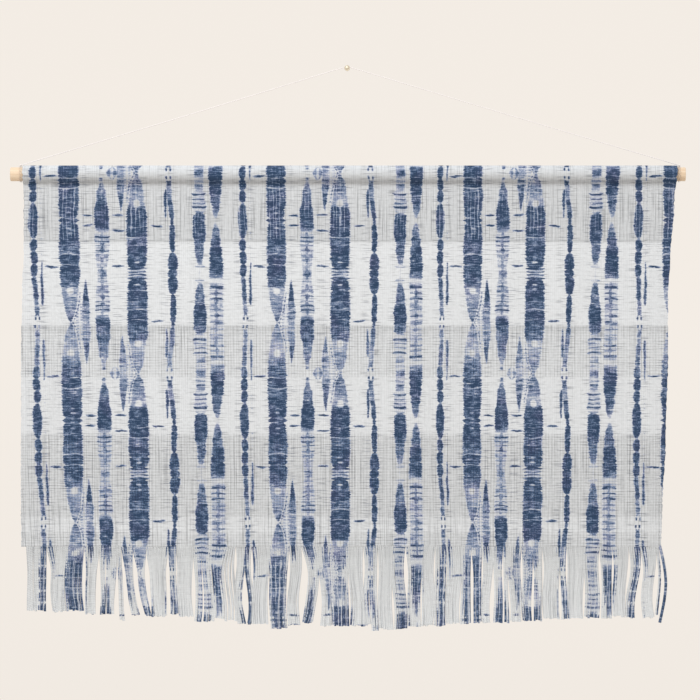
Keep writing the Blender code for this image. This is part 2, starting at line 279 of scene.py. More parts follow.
# %% Nail
# Each point: radius, and depth from the wall's face into the wall, in millimetres.
NAIL_OUTLINE = [
    (0.0, 20.0), (0.35, 19.0), (1.0, 17.0), (1.0, -8.0), (2.2, -8.0), (2.52, -8.12),
    (2.6, -8.45), (2.58, -8.85), (2.4, -9.1), (2.1, -9.12), (1.9, -9.05), (1.6, -9.25),
    (1.1, -9.55), (0.5, -9.75), (0.0, -9.8),
]
nail_bm = bmesh.new()
outline = [nail_bm.verts.new((radius * MM, y * MM, 0)) for radius, y in NAIL_OUTLINE]
for first, second in zip(outline, outline[1:]):
    nail_bm.edges.new((first, second))
bmesh.ops.spin(
    nail_bm, geom=nail_bm.verts[:] + nail_bm.edges[:], cent=(0, 0, 0), axis=(0, 1, 0),
    angle=2 * math.pi, steps=48, use_merge=True, use_duplicate=False,
)
bmesh.ops.remove_doubles(nail_bm, verts=nail_bm.verts[:], dist=0.00001)
nail = add_piece("turned_nail", nail_bm, 35)
print("nail has", len(nail.data.polygons), "faces")

# %% [markdown]
# The cloth hangs almost flat. It comes up the front, goes round the rod and is caught down
# behind itself. These numbers repeat the model's: its two side edges, which lean a little,
# and long shallow waves that grow towards the fringe.

# %% Shape of the hanging cloth
CLOTH_THICKNESS = 1.2 * MM
LAYER_OFFSET = 0.9 * MM
POCKET_RADIUS = 7.45 * MM
FILLET_RADIUS = 1.8 * MM
TAIL_LENGTH = 13 * MM
HEM_DROP = 438.9 * MM
# Each row: drop below the nail, left edge and right edge, in millimetres.
SIDE_EDGES = [
    (89, -297.3, 302.4), (128, -296.4, 299.7), (172, -296.6, 296.3), (205, -298.0, 294.2),
    (260, -299.0, 294.0), (348, -299.2, 291.6), (393, -299.2, 288.9), (439, -298.8, 287.4),
]
# Each wave: length and height in millimetres, and phase in turns.
WAVES = [(355, 2.3, 0.10), (205, 1.3, 0.62), (118, 0.6, 0.35)]
CORNER_LIFT = 2.6 * MM
CORNER_REACH = 70 * MM


def smooth_step(share):
    """Eases a 0 to 1 share in and out."""
    share = min(1.0, max(0.0, share))
    return share * share * (3 - 2 * share)


def side_edges(drop):
    """X of the cloth's left and right edge at a drop below the nail."""
    rows = [tuple(MM * value for value in row) for row in SIDE_EDGES]
    drop = min(rows[-1][0], max(rows[0][0], drop))
    for upper, lower in zip(rows, rows[1:]):
        if drop <= lower[0]:
            t = smooth_step((drop - upper[0]) / (lower[0] - upper[0]))
            return [upper[side] + t * (lower[side] - upper[side]) for side in (1, 2)]
    return rows[-1][1:]


def sheet_depth(x, drop):
    """How far the hanging cloth swings back (positive) at a place on it."""
    top = ROD_DROP + POCKET_RADIUS + TAIL_LENGTH + 5 * MM
    grown = smooth_step((drop - top) / (HEM_DROP - top))
    swing = sum(
        height * MM * math.sin(2 * math.pi * (x / (length * MM) + phase))
        for length, height, phase in WAVES
    )
    left, right = side_edges(drop)
    lift = CORNER_LIFT * (1 - smooth_step(min(x - left, right - x) / CORNER_REACH))
    return grown * (swing - lift)


def cloth_section(fillet_steps=5, pocket_steps=44, sheet_steps=150):
    """Midline of the cloth as (y, drop): up the tail, round the rod, down the sheet."""
    reach = POCKET_RADIUS + FILLET_RADIUS
    aside = LAYER_OFFSET + FILLET_RADIUS
    pinch = math.asin(aside / reach)
    pinch_drop = ROD_DROP + reach * math.cos(pinch)
    curve = []
    for step in range(fillet_steps):
        turn = step / fillet_steps * (math.pi / 2 - pinch)
        y = aside - FILLET_RADIUS * math.cos(turn)
        curve.append((y, pinch_drop - FILLET_RADIUS * math.sin(turn)))
    tail = [(LAYER_OFFSET, pinch_drop + TAIL_LENGTH * (1 - step / 6)) for step in range(6)]
    points = [(y - ROD_STANDOFF, drop) for y, drop in tail + curve]
    for step in range(pocket_steps + 1):
        turn = pinch + step / pocket_steps * 2 * (math.pi - pinch)
        y = POCKET_RADIUS * math.sin(turn) - ROD_STANDOFF
        points.append((y, ROD_DROP + POCKET_RADIUS * math.cos(turn)))
    points += [(-y - ROD_STANDOFF, drop) for y, drop in reversed(curve)]
    for step in range(1, sheet_steps + 1):
        drop = pinch_drop + (HEM_DROP - pinch_drop) * step / sheet_steps
        points.append((-LAYER_OFFSET - ROD_STANDOFF, drop))
    return points


section = cloth_section()
print("the cloth's section has", len(section), "rows")

# %% [markdown]
# The dye was put in while the cloth was folded, so its pattern repeats in a chain: columns
# stand at set places across, and each repeat mirrors the one above. I count it in parts of
# which a full repeat has 200 each way, about 0.92 mm each. Weaving and hanging pulled the
# columns out of true, so a table of where they fall turns a place on the cloth into parts.
# These go into a UV map, which carries the pattern round the roll and down the fringe.

# %% Where the dye falls
# Ten columns in parts, and where they stand, in millimetres, at three drops below the nail.
COLUMN_PARTS = [0, 98.4, 175.5, 200, 298.4, 375.5, 400, 498.4, 575.5, 600]
COLUMN_PLACES = {
    130.2: [-288.0, -193.0, -120.9, -95.8, -6.6, 63.2, 85.4, 172.9, 242.9, 267.5],
    359.5: [-282.8, -190.6, -118.8, -93.4, -6.2, 62.7, 85.2, 170.1, 239.8, 265.0],
    437.4: [-279.0, -190.6, -117.7, -92.3, -6.7, 63.5, 87.3, 168.8, 239.4, 264.3],
}
# Drops in millimetres at which the pattern turns back, one half repeat apart.
MIRROR_DROPS = [50.4, 139.7, 233.6, 323.3, 416.9, 506.2, 600.0]
PART_BEFORE = 1.15
PART_BEYOND = 0.917


def along(value, places, readings):
    """Reads a table between its entries, and goes on straight beyond its ends."""
    index = 1
    while index < len(places) - 1 and value > places[index]:
        index += 1
    a, b = places[index - 1], places[index]
    t = (value - a) / (b - a)
    if value < places[0]:
        return readings[0] + (value - places[0]) / PART_BEFORE
    if value > places[-1]:
        return readings[-1] + (value - places[-1]) / PART_BEYOND
    return readings[index - 1] + t * (readings[index] - readings[index - 1])


def dye_parts(x, drop):
    """A place on the cloth, in metres, as parts of the dye's repeat."""
    x, drop = x / MM, drop / MM
    drops = list(COLUMN_PLACES)
    held = min(drops[-1], max(drops[0], drop))
    row = 0 if held <= drops[1] else 1
    share = (held - drops[row]) / (drops[row + 1] - drops[row])
    upper, lower = COLUMN_PLACES[drops[row]], COLUMN_PLACES[drops[row + 1]]
    places = [a + share * (b - a) for a, b in zip(upper, lower)]
    down = along(drop, MIRROR_DROPS, [100 * step for step in range(len(MIRROR_DROPS))])
    return along(x, places, COLUMN_PARTS), down


print("the nail's plumb line crosses the dye at", dye_parts(0, 0.2))

# %% [markdown]
# A grid makes the sheet. Its rows follow the section and its columns spread between the two
# side edges, with a little wobble where the weft turned back. Solidify gives it thickness,
# so it is a closed sheet, and the same UV maps serve both faces, as dye goes right through.

# %% Cloth
CLOTH_COLUMNS = 170
POCKET_ROWS = 60
PUCKER_TOP = 106 * MM
PUCKER_FADE = 60 * MM
SELVEDGE_REACH = 5 * MM
SELVEDGE_NUDGE = 0.9 * MM
NUDGES_A_METRE = 420


def cloth_wobble(x, drop):
    """Small uneven puckers of handwoven cloth, in metres."""
    broad = 0.5 * MM * noise.noise((x * 38, drop * 5, 2.0))
    small = 0.25 * MM * noise.noise((x * 90, drop * 16, 5.0))
    return smooth_step((drop - PUCKER_TOP) / PUCKER_FADE) * (broad + small)


def make_cloth():
    """The woven sheet with its weave map, in metres, and its dye map, in parts."""
    lengths = [0.0]
    for (y0, z0), (y1, z1) in zip(section, section[1:]):
        lengths.append(lengths[-1] + math.hypot(y1 - y0, z1 - z0))
    front = min(range(POCKET_ROWS), key=lambda row: section[row][0])
    dye_drops = [
        drop if row >= front else section[front][1] - (lengths[front] - lengths[row])
        for row, (y, drop) in enumerate(section)
    ]
    bm = bmesh.new()
    rows = len(section) - 1
    bmesh.ops.create_grid(bm, x_segments=CLOTH_COLUMNS, y_segments=rows, size=1)
    weave, dye = bm.loops.layers.uv.new("weave"), bm.loops.layers.uv.new("dye")
    maps = {}
    for vert in bm.verts:
        across = (vert.co.x + 1) / 2
        row = round((vert.co.y + 1) / 2 * rows)
        y, drop = section[row]
        left, right = side_edges(drop)
        x = left + across * (right - left)
        maps[vert] = (x, lengths[row]), dye_parts(x, dye_drops[row])
        turn_back = max(0, 1 - min(x - left, right - x) / SELVEDGE_REACH)
        edge = left if across < 0.5 else right
        nudge = turn_back * noise.noise((lengths[row] * NUDGES_A_METRE, edge, 1.0))
        y += sheet_depth(x, drop) + (cloth_wobble(x, drop) if row > front else 0)
        vert.co = (x + nudge * SELVEDGE_NUDGE, y, -drop)
    for face in bm.faces:
        for loop in face.loops:
            loop[weave].uv, loop[dye].uv = maps[loop.vert]
    cloth = add_piece("woven_cloth", bm, 180)
    thick = cloth.modifiers.new("cloth thickness", "SOLIDIFY")
    thick.thickness = CLOTH_THICKNESS
    thick.offset = 0
    thick.use_even_offset = True
    shaped = cloth.evaluated_get(bpy.context.evaluated_depsgraph_get())
    cloth.data = bpy.data.meshes.new_from_object(shaped)
    cloth.modifiers.clear()
    cloth.data.set_sharp_from_angle(angle=math.radians(50))
    return cloth


cloth = make_cloth()
print("cloth has", len(cloth.data.polygons), "faces")

# %% [markdown]
# Below the last weft the warp ends hang free, over three hundred of them. They lean, bend and
# gather in locks, with gaps between. One plain yarn, an eight-sided tube with steps along it,
# is added again for each end, and its corners are moved onto that end's path. Each yarn keeps
# the dye of the place it grows from, and the pattern runs on down its length.

# %% Fringe
WARP_PITCH = 1.81 * MM
YARN_FULLNESS = 0.57
FRINGE_INSET = 4.5 * MM
YARN_STEPS = 16
YARN_FLATNESS = 0.6
YARN_OVERLAP = 1.5 * MM
GATHERED_BY = 0.45
# The last yarns on the right take their dye from a little further right.
LAST_YARNS = 279 * MM
LAST_YARNS_SPAN = 8 * MM
LAST_YARNS_SHIFT = 4 * MM
# A row for each lock: right root, left tip and right tip across, length, bow and sway, in mm.
FRINGE_LOCKS = [
    (-288.0, -292.5, -288.6, 59, 0, 0), (-276.0, -288.4, -276.4, 59, 0.4, 0),
    (-257.5, -270.0, -259.0, 60, 0, 0.8), (-241.5, -258.2, -241.4, 59, -1.8, 0.4),
    (-227.6, -240.2, -231.0, 62, 0, 0.6), (-221.5, -225.6, -222.2, 62, 0.6, 0),
    (-211.1, -220.4, -212.8, 62, 0, 0.4), (-207.0, -206.8, -203.4, 68, -0.6, 0),
    (-197.0, -196.9, -190.3, 63, -0.6, 0.4), (-184.5, -184.9, -179.8, 63, -0.8, 0.4),
    (-164.0, -178.8, -165.0, 64, 0, 0), (-157.0, -161.4, -156.2, 62, 0.4, 0),
    (-141.4, -155.2, -141.8, 64, 0, 0.6), (-134.0, -140.3, -135.5, 69, 1.8, -0.6),
    (-130.4, -133.4, -130.0, 69, 1.6, -0.6), (-123.5, -128.9, -122.6, 68, 0, -1.0),
    (-110.0, -122.1, -114.9, 66, -1.4, -1.2), (-102.0, -114.4, -101.4, 68, -1.6, -1.0),
    (-93.5, -101.0, -94.3, 71, -1.4, 1.6), (-87.3, -92.0, -88.2, 71, 0.6, -1.4),
    (-72.5, -86.7, -72.6, 71, 0, 1.0), (-53.5, -69.8, -55.4, 75, -0.8, 0.4),
    (-42.5, -53.8, -43.6, 72, 0, 1.2), (-28.6, -41.2, -31.6, 70, 4.8, 0.8),
    (-16.0, -24.6, -15.0, 73, 2.0, -1.0), (0.5, -13.4, 2.2, 73, 0, 0),
    (14.5, 3.0, 16.2, 73, 0, -0.8), (20.0, 17.0, 21.2, 72, 0, 1.0),
    (28.0, 22.4, 28.8, 77, -1.0, 0), (41.0, 29.6, 42.2, 76, 0, 0.6),
    (53.5, 43.2, 54.2, 76, -0.6, -1.2), (68.5, 55.2, 66.2, 74, 0.8, 0.6),
    (81.0, 67.4, 78.8, 73, 0, -0.8), (90.5, 79.6, 89.8, 73, 0, 0.4),
    (104.8, 91.2, 103.8, 71, 0, 0.8), (114.2, 105.0, 112.9, 71, -0.8, 0),
    (123.2, 115.8, 122.5, 70, 0.5, 0), (133.7, 123.8, 131.6, 70, 0, 0.8),
    (143.0, 135.4, 142.0, 70, 0, -0.4), (147.5, 144.0, 146.8, 70, 0.6, 0),
    (160.0, 148.8, 159.4, 69, 0, -0.8), (170.0, 161.2, 169.0, 68, 0, 0.4),
    (178.5, 171.2, 177.8, 68, 0.4, 0), (195.0, 180.2, 194.2, 66, 0, 0.8),
    (201.0, 196.4, 200.7, 67, 0, -0.6), (217.0, 202.2, 216.6, 66, 0, 0.8),
    (231.0, 217.8, 231.0, 65, 0, -0.8), (242.8, 233.2, 241.5, 66, 0.6, 0),
    (257.5, 243.2, 254.6, 64, 0, 0.8), (267.6, 255.8, 263.2, 65, 0.6, 1.4),
    (282.2, 271.2, 281.3, 65, 0, 1.4), (285.0, 282.4, 284.4, 62, 2.5, 0),
    (287.4, 285.0, 286.8, 69, 5.5, 0),
]


def fringe_yarns():
    """Every warp end's root and length, and how its lock leans, gathers and bends, in metres."""
    chance = random.Random(11)
    yarns = []
    root_left = side_edges(HEM_DROP)[0] + FRINGE_INSET
    for root_right, tip_left, tip_right, length, bow, sway in FRINGE_LOCKS:
        root_right *= MM
        count = max(1, round((root_right - root_left) / WARP_PITCH))
        spacing = (root_right - root_left) / count
        lean = ((tip_left + tip_right) * MM - root_left - root_right) / 2
        for index in range(count):
            share = (index + 0.5) / count
            root = root_left + share * (root_right - root_left)
            yarns.append({
                "root": root,
                "lean": lean,
                "gather": (tip_left + share * (tip_right - tip_left)) * MM - root - lean,
                "length": (length + chance.uniform(-1.2, 0.5)) * MM,
                "bow": bow * MM,
                "sway": sway * MM,
                "swing": chance.uniform(-0.8, 0.8) * MM,
                "seed": chance.uniform(0, 50),
                "radius": YARN_FULLNESS * spacing * chance.uniform(0.95, 1.05),
            })
        root_left = root_right
    return yarns


def yarn_place(yarn, share):
    """Middle of a yarn, at a share of its length from just inside the cloth to its tip."""
    start = HEM_DROP - YARN_OVERLAP
    drop = start + share * (HEM_DROP + yarn["length"] - start)
    eased = share * (0.55 + 0.45 * share)
    x = yarn["root"] + eased * yarn["lean"] + smooth_step(share / GATHERED_BY) * yarn["gather"]
    x += yarn["bow"] * math.sin(math.pi * share) + yarn["sway"] * math.sin(2 * math.pi * share)
    x += 0.3 * MM * share * noise.noise((share * 2.2, yarn["seed"], 0.0))
    x += 2.2 * MM * share * noise.noise((yarn["root"] * 95, share * 1.6, 4.0))
    y = -LAYER_OFFSET - ROD_STANDOFF + sheet_depth(yarn["root"], HEM_DROP)
    y += share * share * yarn["swing"]
    y += 0.4 * MM * share * noise.noise((share * 3.0, yarn["seed"], 9.0))
    return Vector((x, y, -drop))


def master_yarn():
    """One straight tube of unit radius and length, with closed ends, as a mesh."""
    bm = bmesh.new()
    bmesh.ops.create_cone(
        bm, cap_ends=True, cap_tris=False, segments=8, radius1=1, radius2=1, depth=1,
    )
    sides = [e for e in bm.edges if abs(e.verts[0].co.z - e.verts[1].co.z) > 0.5]
    bmesh.ops.subdivide_edges(bm, edges=sides, cuts=YARN_STEPS - 1, use_grid_fill=True)
    mesh = bpy.data.meshes.new("master yarn")
    bm.to_mesh(mesh)
    bm.free()
    return mesh


def make_fringe(yarns):
    """All the warp ends as one mesh with the cloth's two maps."""
    master = master_yarn()
    bm = bmesh.new()
    maps = {}
    for yarn in yarns:
        known = len(bm.verts)
        bm.from_mesh(master)
        bm.verts.ensure_lookup_table()
        for vert in bm.verts[known:]:
            share = 0.5 - vert.co.z
            angle = math.atan2(vert.co.y, vert.co.x)
            middle = yarn_place(yarn, share)
            slope = (yarn_place(yarn, share + 0.02) - yarn_place(yarn, share - 0.02)).normalized()
            side = Vector((0, 1, 0)).cross(slope).normalized()
            back = slope.cross(side)
            radius = yarn["radius"] * (1.08 if share > 0.97 else 1.0)
            offset = side * math.cos(angle) + back * math.sin(angle) * YARN_FLATNESS
            vert.co = middle + radius * offset
            length = share * (yarn["length"] + YARN_OVERLAP)
            last = smooth_step((yarn["root"] - LAST_YARNS) / LAST_YARNS_SPAN)
            dyed = yarn["root"] + last * LAST_YARNS_SHIFT + yarn["radius"] * math.cos(angle)
            parts = dye_parts(dyed, HEM_DROP - YARN_OVERLAP + length)
            maps[vert] = (yarn["root"] + 0.2 * MM * math.cos(angle), length), parts
    weave, dye = bm.loops.layers.uv.new("weave"), bm.loops.layers.uv.new("dye")
    for face in bm.faces:
        for loop in face.loops:
            loop[weave].uv, loop[dye].uv = maps[loop.vert]
    bpy.data.meshes.remove(master)
    return add_piece("warp_end_fringe", bm, 75)


yarns = fringe_yarns()
fringe = make_fringe(yarns)
print("fringe has", len(yarns), "yarns and", len(fringe.data.polygons), "faces")

# %% [markdown]
# The dye itself is a chart. Folding the two coordinates onto one half repeat gives the mirror
# symmetry for free, and each column needs a chart of its half width and one of how strongly
# it took the dye. A chart is a Float Curve node. I drew each from how tied and
# stitched cloth takes dye: tapers, beads, rungs and pale resist lines.

# %% Charts of the dyed columns
LOWER_MIRROR = 52
HALF_REPEAT = 100
WIDEST = 12
STRONGEST = 1.3
# Each row: name, place across in parts, mirror line (0 or 52 parts down), and the charts of
# half width in parts up to the widest, dye strength up to the strongest, pale heart and pale
# warp lines, 0 to 1. The lace and its dots lie twice, between a band's tip and its leaf.
LACE = (
    [(0, 4.4), (8, 3.8), (16, 2.4), (22, 0.8), (24, 0), (100, 0)],
    [(0, 0.4), (1.6, 0.1), (3, 0.5), (4.4, 0.1), (6, 0.55), (7.4, 0.1), (9, 0.5), (10.4, 0.1),
     (12, 0.55), (13.4, 0.1), (15, 0.5), (16.4, 0.1), (18, 0.5), (19.4, 0.1), (21, 0.4), (23, 0),
     (100, 0)],
    [(0, 0.6), (20, 0.6), (24, 0), (100, 0)], [(0, 1), (24, 1), (30, 0), (100, 0)],
)
DOTS = (
    [(0, 0.9), (12, 1.1), (34, 0.8), (100, 0.8)],
    [(0, 0.9), (2, 0.1), (3.6, 1), (5.2, 0.1), (6.8, 1), (8.4, 0.1), (10, 1), (11.8, 0.1),
     (13.6, 1), (15.4, 0.1), (17.2, 1), (19, 0.1), (21, 0.9), (23, 0.1), (25, 0.8), (27, 0.1),
     (29, 0.6), (31, 0), (100, 0)],
    None, None,
)
COLUMNS = [
    ("beads", 0, 0,
     [(0, 2.7), (6, 2.7), (8, 1.8), (13, 2.6), (17, 1.9), (19, 2.4), (22, 1.8), (26, 2.7),
      (30, 2.1), (43, 2.5), (44.3, 1.4), (46, 2.6),
      (50, 3.3), (55, 3.1), (57.3, 1.7), (59, 3), (64, 3.4), (68, 3), (69.6, 1.7), (72, 3),
      (76, 3.4), (80, 2.8), (82, 1.3), (85, 2.8), (92, 4.1), (100, 4.3)],
     [(0, 0), (2, 0), (3, 1.1), (5, 1.1), (5.8, 0.1), (6.8, 0.6), (9, 0.8), (14, 0.7),
      (16, 0.4), (18, 0.75), (21, 0.5), (23, 0.9), (30, 0.9),
      (42, 0.9), (44.3, 0.5), (46, 1.1), (56, 1.1), (57.3, 0.7), (59, 1.1), (68, 1.15),
      (69.6, 0.6), (71, 1.15), (80, 1.15), (82, 0.5), (84, 1.1), (100, 1.05)],
     [(0, 0), (2, 1), (6, 1), (8, 0), (100, 0)],
     [(0, 0), (82, 0), (84, 0.8), (100, 0.8)]),
    ("broad band", 33.7, 0,
     [(0, 0.8), (2, 1.6), (6, 3.6), (12, 5.4), (20, 6.8), (30, 8.2), (36, 8.8), (46, 9.6),
      (55, 9.7), (56.5, 8.2), (58, 9.8), (75, 10), (86, 9.4), (94, 9), (96, 8.8), (97.3, 6.8),
      (98.4, 8), (100, 10.2)],
     [(0, 0.3), (3, 0.9), (6, 0.7), (8, 0.5), (9, 0.4), (11, 0.8), (12.5, 0.45), (14, 0.8),
      (15.5, 0.45), (18, 0.6), (20, 0.45), (24, 0.5), (27, 0.4), (34, 0.45), (36, 0.75),
      (42, 0.85), (47, 0.98), (55, 1.02), (56, 0.95),
      (56.6, 0.35), (57.4, 1.0), (61, 1.05), (62, 0.7), (63, 1.05), (66.2, 1.1), (67, 0.35),
      (67.6, 0.35), (68.4, 0.8), (74, 0.8), (75.6, 0.95), (76.2, 0.65), (77, 1.0), (80, 1.15),
      (86, 1.1), (87, 0.85), (88, 1.1), (96, 1.05), (98, 0.75), (99.2, 1.1), (100, 1.15)],
     [(0, 0), (27, 0.1), (29, 1), (33, 1), (35, 0.1), (86, 0), (87.2, 0.5), (88.5, 0.1),
      (90.8, 0.1), (91.8, 0.7), (92.8, 0.6), (93.8, 0.1), (97, 0.1), (98, 0.5), (99, 0.1),
      (100, 0)],
     [(0, 0.5), (24, 0.5), (28, 0), (36, 0), (40, 0.3), (66, 0.4), (70, 0.8), (100, 0.8)]),
    ("slim ladder", 64.8, 52,
     [(0, 1), (4, 1.6), (12, 2.3), (16, 3.4), (17, 4.5), (26, 4.8), (33, 5.6), (36, 6.8), (55, 7),
      (59, 6.5), (63, 7.3), (73.5, 7.2), (80, 6.5), (86, 6), (90, 5.6), (96, 4.6), (100, 4.6)],
     [(0, 0), (3.6, 0), (4.6, 0.9), (8, 0.3), (12, 0.7), (20, 0.7), (26, 0.8), (31, 1.0),
      (38, 1.2), (53, 1.2), (55, 0.95), (57, 0.6), (59, 0.35), (60.4, 0.1), (61.4, 0.1),
      (62.4, 0.35), (63, 0.2), (63.8, 0.25), (64.3, 1.1), (65.1, 1.1), (65.8, 0.3), (68, 0.3),
      (68.5, 0.95), (69.2, 0.85), (70, 0.2), (72, 0.15), (72.7, 0.75), (73.6, 0.2), (77.3, 0.2),
      (78.1, 0.9), (79, 0.25), (80.6, 0.2), (82.3, 0.6), (83.6, 0.5), (85, 0.25),
      (86.6, 0.25), (87.4, 0.65), (88.4, 0.2), (91.6, 0.25), (92.5, 0.45), (93.4, 0.25),
      (96, 0.25), (98, 0.45), (100, 0.5)],
     None, [(0, 0), (16, 0.3), (26, 0.5), (40, 0.55), (54, 0.4), (58, 0), (100, 0)]),
    ("striped band", 98.4, 52,
     [(0, 1.2), (2, 2), (4, 2.4), (7, 4.6), (13, 6), (24, 7.2), (30, 8), (36, 9), (42, 9.9),
      (60, 10), (82, 10), (83.5, 8.6), (85, 10), (90, 9), (93, 8.4), (93.8, 6), (95, 10),
      (95.8, 10.4), (97, 7), (98, 9), (99.4, 9.5), (100, 7)],
     [(0, 0.2), (1.6, 0.9), (3, 0.3), (4.5, 0.8), (6, 0.5), (7, 0.9), (8.5, 0.5), (10, 0.85),
      (11.5, 0.45), (13.4, 0.85), (15, 0.45), (17.5, 0.8), (19, 0.45), (21, 0.6), (24, 0.4),
      (33, 0.45), (34.5, 0.9),
      (37, 1.15), (54.6, 1.15), (55.1, 0.4), (55.8, 1.15), (64.3, 1.1), (65, 0.4), (65.5, 0.4),
      (66.3, 0.85), (72, 0.85), (72.7, 0.5), (73.4, 1.0), (82.5, 1.05), (83.6, 0.8),
      (84.8, 1.0), (93, 1.05), (94.4, 0.9), (95.4, 1.2), (96.2, 0.9), (97, 0.25), (98, 0.3),
      (98.8, 0.9), (99.4, 0.8), (100, 0.3)],
     [(0, 0), (26, 0.1), (28.4, 1), (32.6, 1), (35.4, 0.1), (83, 0.1), (84, 0.45), (85, 0.45),
      (86, 0.1), (87.8, 0.1), (88.6, 0.8), (89.6, 0.8), (90.4, 0.1), (100, 0)],
     [(0, 0.5), (22, 0.5), (26, 0.2), (33, 0.4), (35, 0.9), (48, 0.9), (60, 0.6), (64, 0.2),
      (70, 0.1), (100, 0.1)]),
    ("pods", 133.2, 52,
     [(0, 3.2), (6, 3.2), (9, 2.2), (14, 2.7), (30, 2.5), (41, 2.6), (45.6, 2.4), (46.4, 1.2),
      (48, 1.7), (51, 1.7), (52, 1.2), (54, 2.8), (57.6, 2.6), (58.4, 2.2), (60, 3),
      (66, 3), (67.4, 2.2), (69, 3), (74.4, 2.5), (77, 2.6), (79.6, 1), (81, 3), (86, 4.6),
      (92, 5), (95.4, 4.6), (96.4, 3), (97.4, 4.4), (100, 4.8)],
     [(0, 0), (2, 0.05), (3.2, 1), (5, 1), (6, 0.1), (7.5, 0.9), (12, 0.85), (14, 0.55),
      (27, 0.55), (28.4, 1.1), (31, 1.1), (33, 0.75), (40, 0.85), (42, 1.1), (52, 1.05),
      (54, 1.2), (57.8, 1.2), (58.4, 0.8), (59.4, 1.2), (78.8, 1.2), (79.6, 0.7), (81, 1),
      (86, 1.05), (95.6, 1.1), (96.4, 0.8), (97.4, 1.1), (100, 1.1)],
     [(0, 0.2), (2.4, 1), (6, 1), (7.4, 0), (100, 0)], None),
    ("tied rungs", 159.5, 52,
     [(0, 4.6), (4, 5), (9, 5), (12, 4.6), (18, 4.6), (20.6, 7.6), (22, 6), (27, 6.2),
      (31, 6.6), (34, 7.2), (36, 6.6), (39.6, 5), (40.8, 3), (42.8, 6), (62, 6.5), (67, 5.8),
      (71, 4.9), (75, 4.5), (78, 4.8), (82, 3.8), (84, 3.9), (87, 2.9), (89, 2.9), (91, 2),
      (92.6, 5), (94, 5), (95, 0.8), (100, 0.7)],
     [(0, 0.85), (2, 0.8), (3, 0.45), (6, 0.2), (7.4, 0.5), (9, 0.35), (10.6, 0.15),
      (11.4, 0.85), (12.4, 0.8), (13.6, 0.4), (17, 0.4), (18.4, 0.2), (20.4, 0.2), (21.2, 1.0),
      (22.2, 0.85), (23, 0.25), (25.6, 0.25), (26.6, 0.9), (27.6, 0.25), (29.8, 0.25), (31, 0.8),
      (32.2, 0.25), (33.6, 0.25), (34.5, 1.05), (35.6, 1.0), (36.6, 0.2), (38.6, 0.15), (40, 0.5),
      (42.4, 0.9), (46, 1.1), (62, 1.15), (67, 1.0), (70, 0.8), (71, 0.55), (72, 0.8), (80, 0.75),
      (85, 0.75), (88, 0.7), (90, 0.45), (92.8, 0.1), (93.6, 0.5), (94.4, 0.1), (96, 0.22),
      (100, 0.22)],
     None, [(0, 0), (38, 0), (43, 0.75), (60, 0.6), (68, 0.2), (100, 0.1)]),
    ("taper", 175.5, 0,
     [(0, 6.4), (38, 6.6), (43.8, 6.6), (58, 6.7), (58.7, 5.2), (60, 6.4), (64.4, 6.2),
      (65.2, 5), (67, 6), (73, 5.8), (75, 4.6), (80, 4.8), (81.5, 5.2), (83, 4), (90, 3.6),
      (93, 2.6), (97, 1.6), (100, 1)],
     [(0, 0.55), (1.6, 0.5), (2.6, 0.2), (6, 0.2), (7, 0.75), (8.2, 0.2), (12, 0.25), (13, 0.7),
      (14.2, 0.25), (17, 0.5), (19, 0.25), (22.2, 0.2), (23.2, 0.95), (24.2, 0.85), (25.2, 0.2),
      (27.8, 0.2), (28.8, 0.9), (30, 0.2), (33, 0.2), (34, 1.0), (35.4, 1.0), (36.6, 0.3),
      (38, 0.35), (39.6, 0.1), (42.4, 0.15), (44, 0.5), (47, 0.8), (51, 1.0), (56, 1.15), (66, 1.15),
      (73, 1.0), (74.4, 0.7), (75.6, 0.7), (76.6, 0.9), (80.4, 0.8), (81.4, 1.0), (83.6, 0.75),
      (87, 0.85), (89, 0.6), (91.6, 0.8), (94, 0.5), (96.6, 0.35), (98.4, 0.05), (100, 0.05)],
     None, [(0, 0), (44, 0.05), (60, 0.15), (100, 0.1)]),
    ("bead side line", 7.2, 0,
     [(0, 0.4), (16, 0.4), (19, 1.2), (26, 1.7), (33, 1.3), (42, 1.4), (48, 0.9), (58, 0.7),
      (60, 0.4), (62, 0.5), (100, 0.5)],
     [(0, 0), (16, 0), (18, 0.9), (40, 0.95), (58, 0.9), (60, 0.1), (66, 0), (67, 0.5),
      (68, 0), (74, 0), (75, 0.5), (76, 0), (81, 0), (82, 0.6), (83, 0), (86.5, 0),
      (87.5, 0.7), (88.5, 0), (100, 0)],
     None, None),
    ("broad band leaf", 48.6, 0,
     [(0, 3.6), (8, 4.2), (16, 4), (22, 3), (30, 2.2), (38, 1.2), (43, 0.3), (100, 0)],
     [(0, 0.5), (3, 0.4), (5, 0.7), (8, 0.3), (10, 0.8), (14, 0.5), (18, 0.8), (20, 0.5),
      (22, 1.15), (34, 1.1), (42, 0.6), (43, 0), (100, 0)],
     None, None),
    ("striped band leaf", 83.4, 52,
     [(0, 3.4), (8, 4), (16, 3.8), (21, 3), (28, 2.2), (35, 1.2), (40, 0.3), (100, 0)],
     [(0, 0.35), (3, 0.5), (5, 0.3), (7, 0.8), (10, 0.35), (12, 0.8), (16, 0.75), (19, 0.4),
      (21, 0.85), (33, 0.85), (38, 0.6), (40, 0), (100, 0)],
     None, None),
    ("striped band cluster", 75.5, 52,
     [(0, 5.5), (3, 4.4), (6, 2), (8, 0), (100, 0)],
     [(0, 0.7), (1.4, 0.65), (3, 0.35), (5, 0.5), (7, 0.1), (8, 0), (100, 0)],
     [(0, 0.5), (4, 0.9), (8, 0), (100, 0)], None),
    ("broad band lace", 42.6, 0, *LACE),
    ("striped band lace", 89.4, 52, *LACE),
    ("broad band dots", 35.6, 0, *DOTS),
    ("striped band dots", 96.5, 52, *DOTS),
    ("slim ladder spine", 64.8, 52,
     [(0, 0), (57, 0), (60, 1.4), (65, 2.6), (67, 1.2), (70, 2.6), (74, 1.2), (78, 3),
